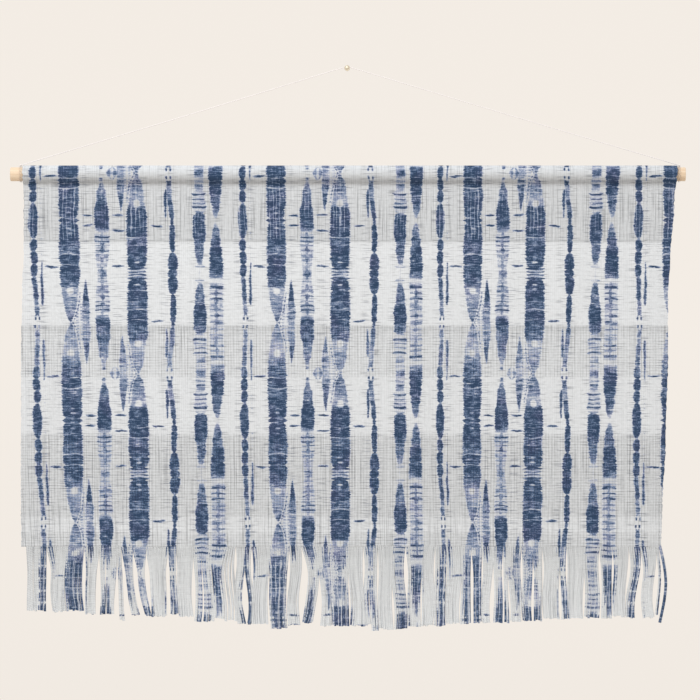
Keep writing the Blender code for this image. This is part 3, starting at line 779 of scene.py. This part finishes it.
      (81, 1.2), (84, 2.8), (89, 1.4), (93, 2.6), (96, 1.4), (100, 4)],
     [(0, 0), (57, 0), (60, 0.5), (68, 0.5), (78, 0.7), (81, 0.4), (88, 0.65), (92, 0.4),
      (100, 0.7)], None, None),
    ("taper spine", 175.5, 0,
     [(0, 4), (3, 1.4), (7, 3), (10, 1.2), (13, 2.8), (18, 1.6), (23, 2.8), (26, 1.2), (29, 2.6),
      (32, 1.2), (35, 2.6), (39, 1), (41, 0), (100, 0)],
     [(0, 0.7), (4, 0.4), (7, 0.7), (10, 0.4), (16, 0.6), (24, 0.7), (30, 0.6), (38, 0.5),
      (41, 0), (100, 0)], None, None),
    ("pod leaf", 126.6, 52,
     [(0, 0), (15, 0), (17, 0.8), (20, 1.5), (32, 1.6), (36, 1.1), (44, 0.9), (46.4, 0.2),
      (100, 0)],
     [(0, 0), (15.5, 0), (17, 1), (32, 1.1), (34, 0.9), (36, 1.1), (45, 1), (46.4, 0),
      (100, 0)],
     None, None),
]
print("charted", len(COLUMNS), "columns")

# %% [markdown]
# Some of the pattern lies outside the columns' charts. Short brush-like marks stand beside
# them, a few columns drift aside near a fold, and bands across the cloth took less dye or let
# single undyed warps show through it.

# %% Marks, bands and drifts
# Each mark: across, half length and down in parts, mirror line (none for a mark that isn't
# mirrored), and slant.
DASHES = [
    (16.2, 7.0, 54.7, 0, 0.05), (51.5, 5.6, 95.0, 0, -0.05), (117.8, 6.4, 53.6, 52, -0.04),
    (80.8, 6.2, 94.6, None, 0.02), (81.0, 6.8, 110.1, None, -0.03),
    (80.5, 6.4, 144.6, None, 0.02),
]
DASH_HALF_HEIGHT = 1.25
# How clearly single undyed warps show through the dye, down the cloth in parts.
COMB_BANDS = [
    (0, 0.4), (58, 0.6), (62, 0.85), (117, 0.85), (120.5, 0.15), (198, 0.1), (202, 0.35),
    (251, 0.3), (256, 0.1), (430, 0.15), (440, 0.8), (512, 0.8),
]
# The deepest the dye gets, down the cloth in parts.
TAKE_BANDS = [
    (0, 1.0), (60, 0.99), (122, 0.95), (202.6, 0.95), (203.6, 0.77), (254.4, 0.77),
    (255.6, 0.95), (432, 0.93), (445, 0.88), (512, 0.84),
]
# The bands' charts end at the fringe's tips.
LAST_PART = 512
# Columns that drift aside near a mirror line: parts to the right, against the fold.
DRIFTS = {
    "beads": [(0, 1.8), (20, 1.4), (45, 0), (100, 0)],
    "pods": [(0, -4), (14, -3.6), (30, -2), (50, 0), (100, 0)],
    "broad band dots": [(0, 0.1), (6, 3), (12, 4.8), (20, 6.4), (31, 7.9), (100, 8)],
    "striped band dots": [(0, -0.1), (6, -3), (12, -4.8), (20, -6.4), (31, -7.9), (100, -8)],
}
FURTHEST = 8
print("charted", len(DASHES), "marks and", len(DRIFTS), "drifts")

# %% [markdown]
# Every column takes the same few nodes, so a function lays them. They measure how far to the
# side of the column a place lies, compare that with the charted half width, and read how
# strongly the place took the dye. Where a tie or a stitch held the dye back, less is left.

# %% One dyed column
RUNG_BOW = 0.00012


def column_aside(tree, name, place, tile, fold):
    """How far a place lies to a column's side, in parts, with the column's own drift."""
    aside = add(tree, MATH, tile, place, operation="SUBTRACT")
    if name in DRIFTS:
        way = -FURTHEST if DRIFTS[name][0][1] > 0 else FURTHEST
        shifts = [(where, abs(shift)) for where, shift in DRIFTS[name]]
        drift = add(tree, CURVE, None, fold, label=name + " drift")
        draw(drift, shifts, HALF_REPEAT, FURTHEST)
        aside = add(tree, MATH, drift, way, aside, operation="MULTIPLY_ADD")
    return add(tree, MATH, aside, operation="ABSOLUTE")


def hold_back(tree, strength, held):
    """Takes away the share of the dye that a tie or a stitch held back."""
    left = add(tree, MATH, 1.0, held, operation="SUBTRACT")
    return add(tree, MATH, strength, left, operation="MULTIPLY")


def dyed_column(tree, column, tile, fold, swell, fray, comb):
    """Dye strength of one column, and how far inside it a place lies, in parts."""
    name, place, mirror, widths, strengths, heart, lines = column
    aside = column_aside(tree, name, place, tile, fold)
    width = add(tree, CURVE, None, fold, label=name + " width")
    draw(width, widths, HALF_REPEAT, WIDEST)
    # Rungs bow a little, so their ends read the chart slightly lower.
    bowed = add(tree, MATH, aside, aside, operation="MULTIPLY")
    bowed = add(tree, MATH, bowed, RUNG_BOW, fold, operation="MULTIPLY_ADD")
    taken = add(tree, CURVE, None, bowed, label=name + " dye")
    draw(taken, strengths, HALF_REPEAT, STRONGEST)
    reach = add(tree, MATH, width, swell, fray, operation="MULTIPLY_ADD")
    depth = add(tree, MATH, reach, aside, operation="SUBTRACT")
    cover = add(tree, MATH, depth, 0.75, 0.32, operation="MULTIPLY_ADD", use_clamp=True)
    strength = add(tree, MATH, taken, cover, operation="MULTIPLY")
    strength = add(tree, MATH, strength, STRONGEST, operation="MULTIPLY")
    if heart:
        pale = draw(add(tree, CURVE, None, fold, label=name + " heart"), heart, HALF_REPEAT)
        core = add(tree, MATH, aside, width, operation="DIVIDE")
        full = add(tree, MATH, pale, 1.2, 0.8, operation="MULTIPLY_ADD")
        core = add(tree, MATH, core, -0.33, full, operation="MULTIPLY_ADD", use_clamp=True)
        held = add(tree, MATH, core, pale, operation="MULTIPLY")
        strength = hold_back(tree, strength, held)
    if lines:
        pale = draw(add(tree, CURVE, None, fold, label=name + " lines"), lines, HALF_REPEAT)
        middle = add(tree, MATH, aside, -0.5, 4.0, operation="MULTIPLY_ADD", use_clamp=True)
        held = add(tree, MATH, comb, pale, operation="MULTIPLY")
        held = add(tree, MATH, held, middle, operation="MULTIPLY")
        strength = hold_back(tree, strength, held)
    return strength, depth


def dash_mark(tree, dash, tile, folds, creep):
    """A short slanted oval mark with a ragged edge, 1 inside it and 0 outside."""
    place, half, low, mirror, slant = dash
    aside = add(tree, MATH, tile, place, operation="SUBTRACT")
    leaned = add(tree, MATH, aside, slant / HALF_REPEAT, folds[mirror], operation="MULTIPLY_ADD")
    leaned = add(tree, MATH, creep, 0.005, leaned, operation="MULTIPLY_ADD")
    rise = add(tree, MATH, leaned, low / HALF_REPEAT, operation="SUBTRACT")
    rise = add(tree, MATH, rise, HALF_REPEAT / DASH_HALF_HEIGHT, operation="MULTIPLY")
    run = add(tree, MATH, aside, 1 / half, operation="MULTIPLY")
    run = add(tree, MATH, run, 2.0, operation="POWER")
    rise = add(tree, MATH, rise, 2.0, operation="POWER")
    mark = add(tree, MATH, run, rise, operation="ADD")
    return add(tree, MATH, mark, -1.0, 1.2, operation="MULTIPLY_ADD", use_clamp=True)


print("a column takes", len(COLUMNS[0]) - 3, "charts at most")

# %% [markdown]
# The dye's node group turns the charts into colour strength. It folds the map onto one half
# repeat and shakes it a little, so no two repeats are alike. The strongest column or mark at
# a place wins. The edges are ragged, because dye creeps along each weft thread in turn.

# %% Shibori dye
# The tile of columns ends on bare ground between two of them.
TILE_ENDS = (-9.0, 191.0)
COMB_PITCH = 3.6
FRINGE_PART = 435
FRINGE_FADE = 0.12


def make_dye_group():
    """Node group: dye map in, dye strength, nearness to a column and undyed warps out."""
    tree = bpy.data.node_groups.new("shibori dye", "ShaderNodeTree")
    tree.interface.new_socket("Map", in_out="INPUT", socket_type="NodeSocketVector")
    for name in ("Dye", "Near", "Comb"):
        tree.interface.new_socket(name, in_out="OUTPUT", socket_type="NodeSocketFloat")
    source = add(tree, "NodeGroupInput").outputs["Map"]
    result = add(tree, "NodeGroupOutput")

    def grain(across, down, detail, strength, base):
        """Noise about zero, stretched across or down the cloth, times strength, plus base."""
        moved = add(tree, MOVE, source, (across, down, 1), operation="MULTIPLY")
        speck = add(tree, NOISE, moved, named={"Scale": 1.0, "Detail": detail})
        level = add(tree, MATH, speck, 0.5, operation="SUBTRACT")
        return add(tree, MATH, level, strength, base, operation="MULTIPLY_ADD")

    split = add(tree, "ShaderNodeSeparateXYZ", source)
    # The dye creeps along each weft thread, some more than others, in parts.
    creep = grain(0.10, 0.85, 1.0, 3.6, 0.0)
    creep = add(tree, MATH, creep, grain(0.30, 1.7, 0.0, 2.4, 0.0), operation="ADD")
    swell = add(tree, MATH, creep, 0.9, WIDEST, operation="MULTIPLY_ADD")
    fray = add(tree, MATH, creep, 0.3, operation="MULTIPLY")
    u = grain(0.02, 0.06, 1.0, 2.4, split.outputs[0])
    v = grain(0.09, 0.05, 1.0, 2.2, split.outputs[1])
    tile = add(tree, MATH, u, TILE_ENDS[1], TILE_ENDS[0], operation="WRAP")
    lowered = add(tree, MATH, v, LOWER_MIRROR, operation="SUBTRACT")
    turned = {
        0: add(tree, MATH, v, HALF_REPEAT, operation="PINGPONG"),
        LOWER_MIRROR: add(tree, MATH, lowered, HALF_REPEAT, operation="PINGPONG"),
        None: add(tree, MATH, v, 2 * HALF_REPEAT, 0.0, operation="WRAP"),
    }
    folds = {
        mirror: add(tree, MATH, fold, HALF_REPEAT, operation="DIVIDE")
        for mirror, fold in turned.items()
    }
    # Single undyed warps, as thin lines that wander a little.
    comb = add(tree, MATH, grain(0.33, 0.015, 0.0, 3.2, u), COMB_PITCH / 2, operation="PINGPONG")
    comb = add(tree, MATH, comb, COMB_PITCH / 6, operation="DIVIDE")
    warps = add(tree, MATH, 1.0, comb, operation="SUBTRACT", use_clamp=True)
    down = add(tree, MATH, split.outputs[1], LAST_PART, operation="DIVIDE")
    shown = draw(add(tree, CURVE, None, down, label="comb bands"), COMB_BANDS, LAST_PART)
    comb = add(tree, MATH, warps, shown, operation="MULTIPLY")
    deepest = draw(add(tree, CURVE, None, down, label="dye bands"), TAKE_BANDS, LAST_PART)

    dye, inside = None, None
    for column in COLUMNS:
        strength, depth = dyed_column(tree, column, tile, folds[column[2]], swell, fray, comb)
        dye = add(tree, MATH, dye, strength, operation="MAXIMUM") if dye else strength
        inside = add(tree, MATH, inside, depth, operation="MAXIMUM") if inside else depth
    for dash in DASHES:
        mark = dash_mark(tree, dash, tile, folds, creep)
        dye = add(tree, MATH, dye, mark, operation="MAXIMUM")
    dye = add(tree, MATH, dye, deepest, operation="MULTIPLY")
    dye = add(tree, MATH, dye, deepest, operation="MINIMUM")
    # In the fringe the warps part, and the undyed ones among them show.
    fringed = add(tree, MATH, split.outputs[1], FRINGE_FADE, -FRINGE_FADE * FRINGE_PART,
                  operation="MULTIPLY_ADD", use_clamp=True)
    fringed = add(tree, MATH, fringed, warps, operation="MULTIPLY")
    fringed = add(tree, MATH, fringed, 0.75, operation="MULTIPLY")
    dye = hold_back(tree, dye, fringed)
    # Where the cloth is dyed, it took the dye in clouds, in wefts and in specks.
    mottle = grain(0.16, 0.2, 3.0, 1.2, 0.0)
    for speckle in ((0.12, 1.1, 1.0, 1.6, 0.0), (0.9, 0.6, 0.0, 0.6, 0.0)):
        mottle = add(tree, MATH, mottle, grain(*speckle), operation="ADD")
    wet = add(tree, MATH, dye, 1.5, operation="MULTIPLY", use_clamp=True)
    mottled = add(tree, MATH, mottle, wet, dye, operation="MULTIPLY_ADD")
    near = add(tree, MATH, inside, 0.11, 1.0, operation="MULTIPLY_ADD", use_clamp=True)
    for name, level in (("Dye", mottled), ("Near", near), ("Comb", warps)):
        tree.links.new(level.outputs[0], result.inputs[name])
    return tree


dye_group = make_dye_group()
print("the dye group has", len(dye_group.nodes), "nodes")

# %% [markdown]
# The cloth is plain-woven cotton: matt, thirsty and soft, with a slight sheen of loose fibre.
# Where the weft was beaten closer the ground is whiter, and elsewhere it shows thin gaps
# between warps, so bands cross it. Threads are about 1.8 mm apart across and 1.3 mm down.

# %% Woven cotton
WEFT_PITCH = 1.3 * MM
# The real yarn is too fine to show at this distance, so a coarser grid stands for it.
BASKET_PITCHES = (2.65 * MM, 2.5 * MM)
TWIST_PITCH = 2.1 * MM
TWIST_REACH = 0.57 * MM
# Down the cloth in parts: how white the ground is, with painted light on the upper front of the
# rolled pocket, painted shade on its underside and at its seam, and the fringe painted lighter
# towards its tips; how far the gaps between warps open; and how clearly the grid of threads shows.
GROUND_AND_PAINTED_SHADE_BANDS = [
    # From 44 to 63 parts, round the rolled pocket, the rows are painted light and shade: lighter on
    # the roll's upper front, darker on its underside and at the seam below it.
    (0, 0.84), (44, 0.88), (52, 0.84), (57, 0.77), (60, 0.70), (61.5, 0.74), (63, 0.84),
    (118.6, 0.81), (120, 0.70), (121.6, 0.94), (125, 0.97), (198, 0.96), (202.6, 0.94),
    (203.6, 0.78), (208, 0.79), (212, 0.86), (254.4, 0.86), (255.6, 0.93), (259, 0.94),
    (306, 0.94), (313.4, 0.92), (314.6, 0.80), (317, 0.795),
    (389, 0.79), (393.5, 0.80), (395.6, 0.92), (398.6, 0.90), (400.6, 0.87), (404, 0.94),
    # From 436 parts on, the fringe is painted lighter towards its tips, painted light on the loose
    # yarns.
    (408, 0.92), (412, 0.84), (420, 0.81), (434, 0.81), (436, 0.84), (455, 0.87), (475, 0.90),
    (512, 0.95),
]
SLIT_BANDS = [
    (0, 0.3), (60, 0.6), (70, 1.0), (118, 1.0), (121, 0.12), (202.6, 0.12), (203.6, 0.8),
    (254.4, 0.7), (256, 0.2), (312, 0.2), (314.6, 0.8), (432, 0.8), (436, 0.9), (512, 0.6),
]
BASKET_BANDS = [
    (0, 0.3), (60, 0.2), (118, 0.1), (202.6, 0.05), (203.6, 1.0), (254.4, 1.0), (256, 0.15),
    (312, 0.15), (314.6, 1.0), (389, 1.0), (391, 0.5), (408, 0.5), (412, 1.0),
    (432, 1.0), (436, 0.1), (512, 0.0),
]
# Indigo from a faint stain to its deepest, in a greener and in a redder cast.
SLATE_TINTS = [
    (0.0, "BFC6D6"), (0.25, "A0ABC1"), (0.5, "7D8CA9"), (0.75, "566B8B"), (1.0, "2C415E"),
]
LILAC_TINTS = [
    (0.0, "C8CBDA"), (0.25, "ACB1C9"), (0.5, "858BAC"), (0.75, "575E83"), (1.0, "374361"),
]


def woven_threads(tree, flat):
    """The crossing threads, the coarser grid and the yarns' twist, as ridges on the flat map."""
    threads, cells = None, None
    for way, pitch, coarse in zip((0, 1), (WARP_PITCH, WEFT_PITCH), BASKET_PITCHES):
        ridge = add(tree, MATH, flat.outputs[way], 1 / pitch, operation="MULTIPLY")
        ridge = add(tree, MATH, ridge, 0.5, operation="PINGPONG")
        threads = add(tree, MATH, threads, ridge, operation="ADD") if threads else ridge
        wave = add(tree, MATH, flat.outputs[way], 2 * math.pi / coarse, operation="MULTIPLY")
        wave = add(tree, MATH, wave, operation="SINE")
        cells = add(tree, MATH, cells, wave, operation="ADD") if cells else wave
    twist = add(tree, MATH, flat.outputs[0], 2 * math.pi / TWIST_REACH, operation="MULTIPLY")
    twist = add(tree, MATH, flat.outputs[1], 2 * math.pi / TWIST_PITCH, twist,
                operation="MULTIPLY_ADD")
    return threads, cells, add(tree, MATH, twist, operation="SINE")


def cotton_finish(name, undyed_hex, thread_shade, basket_shade, rib_shade, twist_shade):
    """Woven or loose cotton in its dye, read from the piece's two maps."""
    material, tree, shader = new_finish(name)

    def grain(across, down, detail, strength, base, clamp=True):
        """Noise stretched along one way of the cloth, times strength, plus base."""
        moved = add(tree, MOVE, parts, (across, down, 1), operation="MULTIPLY")
        speck = add(tree, NOISE, moved, named={"Scale": 1.0, "Detail": detail})
        return add(tree, MATH, speck, strength, base, operation="MULTIPLY_ADD", use_clamp=clamp)

    parts = add(tree, "ShaderNodeUVMap", uv_map="dye")
    flat = add(tree, "ShaderNodeSeparateXYZ", add(tree, "ShaderNodeUVMap", uv_map="weave"))
    stain = add(tree, "ShaderNodeGroup", node_tree=dye_group)
    tree.links.new(parts.outputs[0], stain.inputs["Map"])
    down = add(tree, "ShaderNodeSeparateXYZ", parts).outputs[1]
    down = add(tree, MATH, down, LAST_PART, operation="DIVIDE")
    # The ground curve also carries the painted light and shade round the roll and the painted light
    # down the fringe.
    ground_and_painted_shade, slit, basket = (
        draw(add(tree, CURVE, None, down, label=label), bands, LAST_PART)
        for label, bands in (("ground bands", GROUND_AND_PAINTED_SHADE_BANDS), ("warp gap bands", SLIT_BANDS),
                             ("basket bands", BASKET_BANDS))
    )

    threads, cells, twist = woven_threads(tree, flat)
    thread_level = add(tree, MATH, threads, 0.5, operation="SUBTRACT")
    basket = add(tree, MATH, basket, cells, operation="MULTIPLY")

    gaps = add(tree, MATH, grain(0.95, 0.016, 1.0, 7.0, -3.9), slit, operation="MULTIPLY")
    lights = add(tree, MATH, grain(0.8, 0.02, 1.0, 8.0, -4.8), slit, operation="MULTIPLY")
    beside = add(tree, MATH, stain.outputs["Near"], 1.05, 0.06, operation="MULTIPLY_ADD")
    lines = add(tree, MATH, stain.outputs["Comb"], slit, operation="MULTIPLY")
    ribs = add(tree, MATH, grain(0.07, 1.0, 0.0, 9.0, -5.2), beside, operation="MULTIPLY")
    uneven = grain(0.35, 0.30, 4.0, 1.0, -0.5, clamp=False)

    shade = ground_and_painted_shade
    for effect, weight in (
        (gaps, -0.25), (lines, -0.08), (lights, 0.10), (ribs, -rib_shade), (uneven, 0.24),
        (thread_level, thread_shade), (basket, basket_shade), (twist, twist_shade),
    ):
        shade = add(tree, MATH, effect, weight, shade, operation="MULTIPLY_ADD")
    marks = add(tree, MIX, gaps, data_type="RGBA")
    marks.inputs[6].default_value = linear(undyed_hex)
    marks.inputs[7].default_value = linear("CCD2DA")
    undyed = add(tree, MOVE, marks.outputs[2], operation="SCALE", named={"Scale": shade})

    tinge = add(tree, MATH, ribs, 0.4 * rib_shade, stain.outputs["Dye"], operation="MULTIPLY_ADD")
    slate = draw(add(tree, RAMP, tinge), SLATE_TINTS)
    lilac = draw(add(tree, RAMP, tinge), LILAC_TINTS)
    cast = add(tree, MIX, grain(0.05, 0.045, 2.0, 2.4, -1.1), data_type="RGBA")
    tree.links.new(slate.outputs[0], cast.inputs[6])
    tree.links.new(lilac.outputs[0], cast.inputs[7])
    worn = add(tree, MATH, thread_level, 0.35, 1.0, operation="MULTIPLY_ADD")
    worn = add(tree, MATH, basket, 2.5 * basket_shade, worn, operation="MULTIPLY_ADD")
    inked = add(tree, MOVE, cast.outputs[2], operation="SCALE", named={"Scale": worn})
    cover = add(tree, MATH, tinge, 3.0, -0.15, operation="MULTIPLY_ADD", use_clamp=True)
    colour = add(tree, MIX, cover, data_type="RGBA")
    tree.links.new(undyed.outputs[0], colour.inputs[6])
    tree.links.new(inked.outputs[0], colour.inputs[7])
    tree.links.new(colour.outputs[2], shader.inputs["Base Color"])
    shader.inputs["Roughness"].default_value = 0.92
    shader.inputs["Specular IOR Level"].default_value = 0.2
    height = add(tree, MATH, threads, uneven, operation="ADD")
    height = add(tree, MATH, twist, 4 * twist_shade, height, operation="MULTIPLY_ADD")
    height = add(tree, MATH, basket, 3.5 * basket_shade, height, operation="MULTIPLY_ADD")
    relief = add(tree, BUMP,
                 named={"Height": height, "Distance": 0.3 * MM, "Strength": 0.8})
    tree.links.new(relief.outputs[0], shader.inputs["Normal"])
    return material


for piece, recipe in (
    (cloth, ("woven indigo-dyed cotton", "D7DDE4", 0.12, 0.05, 0.38, 0.0)),
    (fringe, ("loose indigo-dyed cotton warp", "D9DFE5", 0.05, 0.0, 0.12, 0.05)),
):
    piece.data.materials.append(cotton_finish(*recipe))
print("cloth and fringe share one dye")

# %% [markdown]
# The rod is a planed and sanded dowel of a pale even wood such as birch or ramin, left
# unvarnished. Its grain runs along it as fine darker streaks, and its cut ends look a shade
# darker. The solid already has the right shape, so it only gets a finish.

# %% Pale wood
STREAK_SIZE = (71.4 * MM, 1.11 * MM, 1.11 * MM)
PORE_SIZE = (8.33 * MM, 0.385 * MM, 0.385 * MM)
wood, wood_tree, wood_shader = new_finish("sanded pale dowel wood")
place = add(wood_tree, COORDINATES).outputs["Object"]
along_grain = add(wood_tree, MOVE, place, STREAK_SIZE, operation="DIVIDE")
streaks = add(wood_tree, NOISE, along_grain, named={"Scale": 1.0, "Detail": 4.0, "Roughness": 0.6})
tone = draw(add(wood_tree, RAMP, streaks), [(0.25, "CFB699"), (0.75, "E6D5BF")])
wood_tree.links.new(tone.outputs[0], wood_shader.inputs["Base Color"])
wood_shader.inputs["Roughness"].default_value = 0.55
along_pores = add(wood_tree, MOVE, place, PORE_SIZE, operation="DIVIDE")
pores = add(wood_tree, NOISE, along_pores, named={"Scale": 1.0})
fine = add(wood_tree, BUMP,
           named={"Height": pores, "Distance": 0.05 * MM, "Strength": 0.4})
wood_tree.links.new(fine.outputs[0], wood_shader.inputs["Normal"])
rod = bpy.data.objects["rod"]
rod.data.materials.clear()
rod.data.materials.append(wood)

# %% [markdown]
# The cord is a thin undyed thread, almost the colour of the wall behind it. The nail is
# lacquered brass gone pale, with a soft satin gloss and faint turning marks.

# %% Thread and brass
# A wave texture at scale 1 has a band every pi / 5 metres, and a ring every pi / 10.
PLY_PITCH = 1.5 * MM
TURNING_PITCH = 0.35 * MM
thread, thread_tree, thread_shader = new_finish("undyed twisted thread")
place = add(thread_tree, COORDINATES).outputs["Object"]
plies = add(thread_tree, "ShaderNodeTexWave", place, bands_direction="DIAGONAL",
            named={"Scale": math.pi / 5 / PLY_PITCH, "Distortion": 1.5})
tone = draw(add(thread_tree, RAMP, plies), [(0.0, "DDDADC"), (1.0, "EAE8EB")])
thread_tree.links.new(tone.outputs[0], thread_shader.inputs["Base Color"])
thread_shader.inputs["Roughness"].default_value = 0.7
twist = add(thread_tree, BUMP,
            named={"Height": plies, "Distance": 0.05 * MM, "Strength": 0.4})
thread_tree.links.new(twist.outputs[0], thread_shader.inputs["Normal"])
cord.data.materials.append(thread)
for piece in knot_pieces.values():
    piece.data.materials.append(thread)

brass, brass_tree, brass_shader = new_finish("satin lacquered brass")
place = add(brass_tree, COORDINATES).outputs["Object"]
turned = add(brass_tree, "ShaderNodeTexWave", place, wave_type="RINGS", rings_direction="Y",
             named={"Scale": math.pi / 10 / TURNING_PITCH, "Distortion": 0.6})
tone = draw(add(brass_tree, RAMP, turned), [(0.0, "D3CBB9"), (1.0, "DFD8C8")])
brass_tree.links.new(tone.outputs[0], brass_shader.inputs["Base Color"])
brass_shader.inputs["Metallic"].default_value = 1.0
brass_shader.inputs["Roughness"].default_value = 0.55
nail.data.materials.append(brass)
print("small pieces finished")

# %% [markdown]
# The studio is plain: a pale world, a touch darker below, one large soft lamp from the upper
# left, and a pale floor well under the fringe.

# %% Floor and light
FLOOR_HALF = 1.4
FLOOR_CENTRE = (0, -0.2, -0.95)
CLOUD_SIZE = 25 * MM
floor_bm = bmesh.new()
bmesh.ops.create_grid(floor_bm, x_segments=1, y_segments=1, size=FLOOR_HALF)
bmesh.ops.translate(floor_bm, verts=floor_bm.verts[:], vec=FLOOR_CENTRE)
floor = add_piece("studio_floor", floor_bm)
paper, paper_tree, paper_shader = new_finish("matt studio paper")
place = add(paper_tree, COORDINATES).outputs["Object"]
fibre = add(paper_tree, NOISE, place, named={"Scale": 1 / CLOUD_SIZE, "Detail": 3.0})
tone = draw(add(paper_tree, RAMP, fibre), [(0.0, "E9E2DA"), (1.0, "EFE8E0")])
paper_tree.links.new(tone.outputs[0], paper_shader.inputs["Base Color"])
paper_shader.inputs["Roughness"].default_value = 0.9
floor.data.materials.append(paper)

world = bpy.data.worlds.new("studio")
bpy.context.scene.world = world
world.use_nodes = True
sky = world.node_tree
aim = add(sky, COORDINATES).outputs["Generated"]
rise = add(sky, "ShaderNodeSeparateXYZ", aim).outputs[2]
rise = add(sky, "ShaderNodeMapRange", rise, -1.0, 1.0)
glow = draw(add(sky, RAMP, rise), [
    (0.0, "7C7772"), (0.25, "A49E98"), (0.40, "EDE6DE"), (0.5, "F4EDE5"), (0.62, "F2EBE3"),
    (1.0, "FFFCF8"),
])
sky.links.new(glow.outputs[0], sky.nodes["Background"].inputs["Color"])

lamp = bpy.data.lights.new("soft key", "AREA")
lamp.size = 0.8
lamp.energy = 20.0
lamp.color = (1.0, 0.985, 0.96)
key = bpy.data.objects.new("soft key", lamp)
key.location = (-0.55, -1.3, 1.25)
key.rotation_euler = (VIEW_CENTRE - key.location).to_track_quat("-Z", "Y").to_euler()
bpy.context.scene.collection.objects.link(key)
print("studio is lit")

# %% [markdown]
# Last, each new piece is hung on the root body, which carries it, and the solid it stands for
# is hidden.

# %% Tie the pieces to the model
for piece, node, slot in (
    (cloth, "cloth", "dyed_cloth"), (fringe, "fringe", "warp_ends"), (nail, "nail", "nail_brass"),
    (cord, "cord", "hanging_cord"), (knot_pieces["knot_left"], "knot_left", "hanging_cord"),
    (knot_pieces["knot_right"], "knot_right", "hanging_cord"),
):
    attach(piece, "root")
    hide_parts(node)
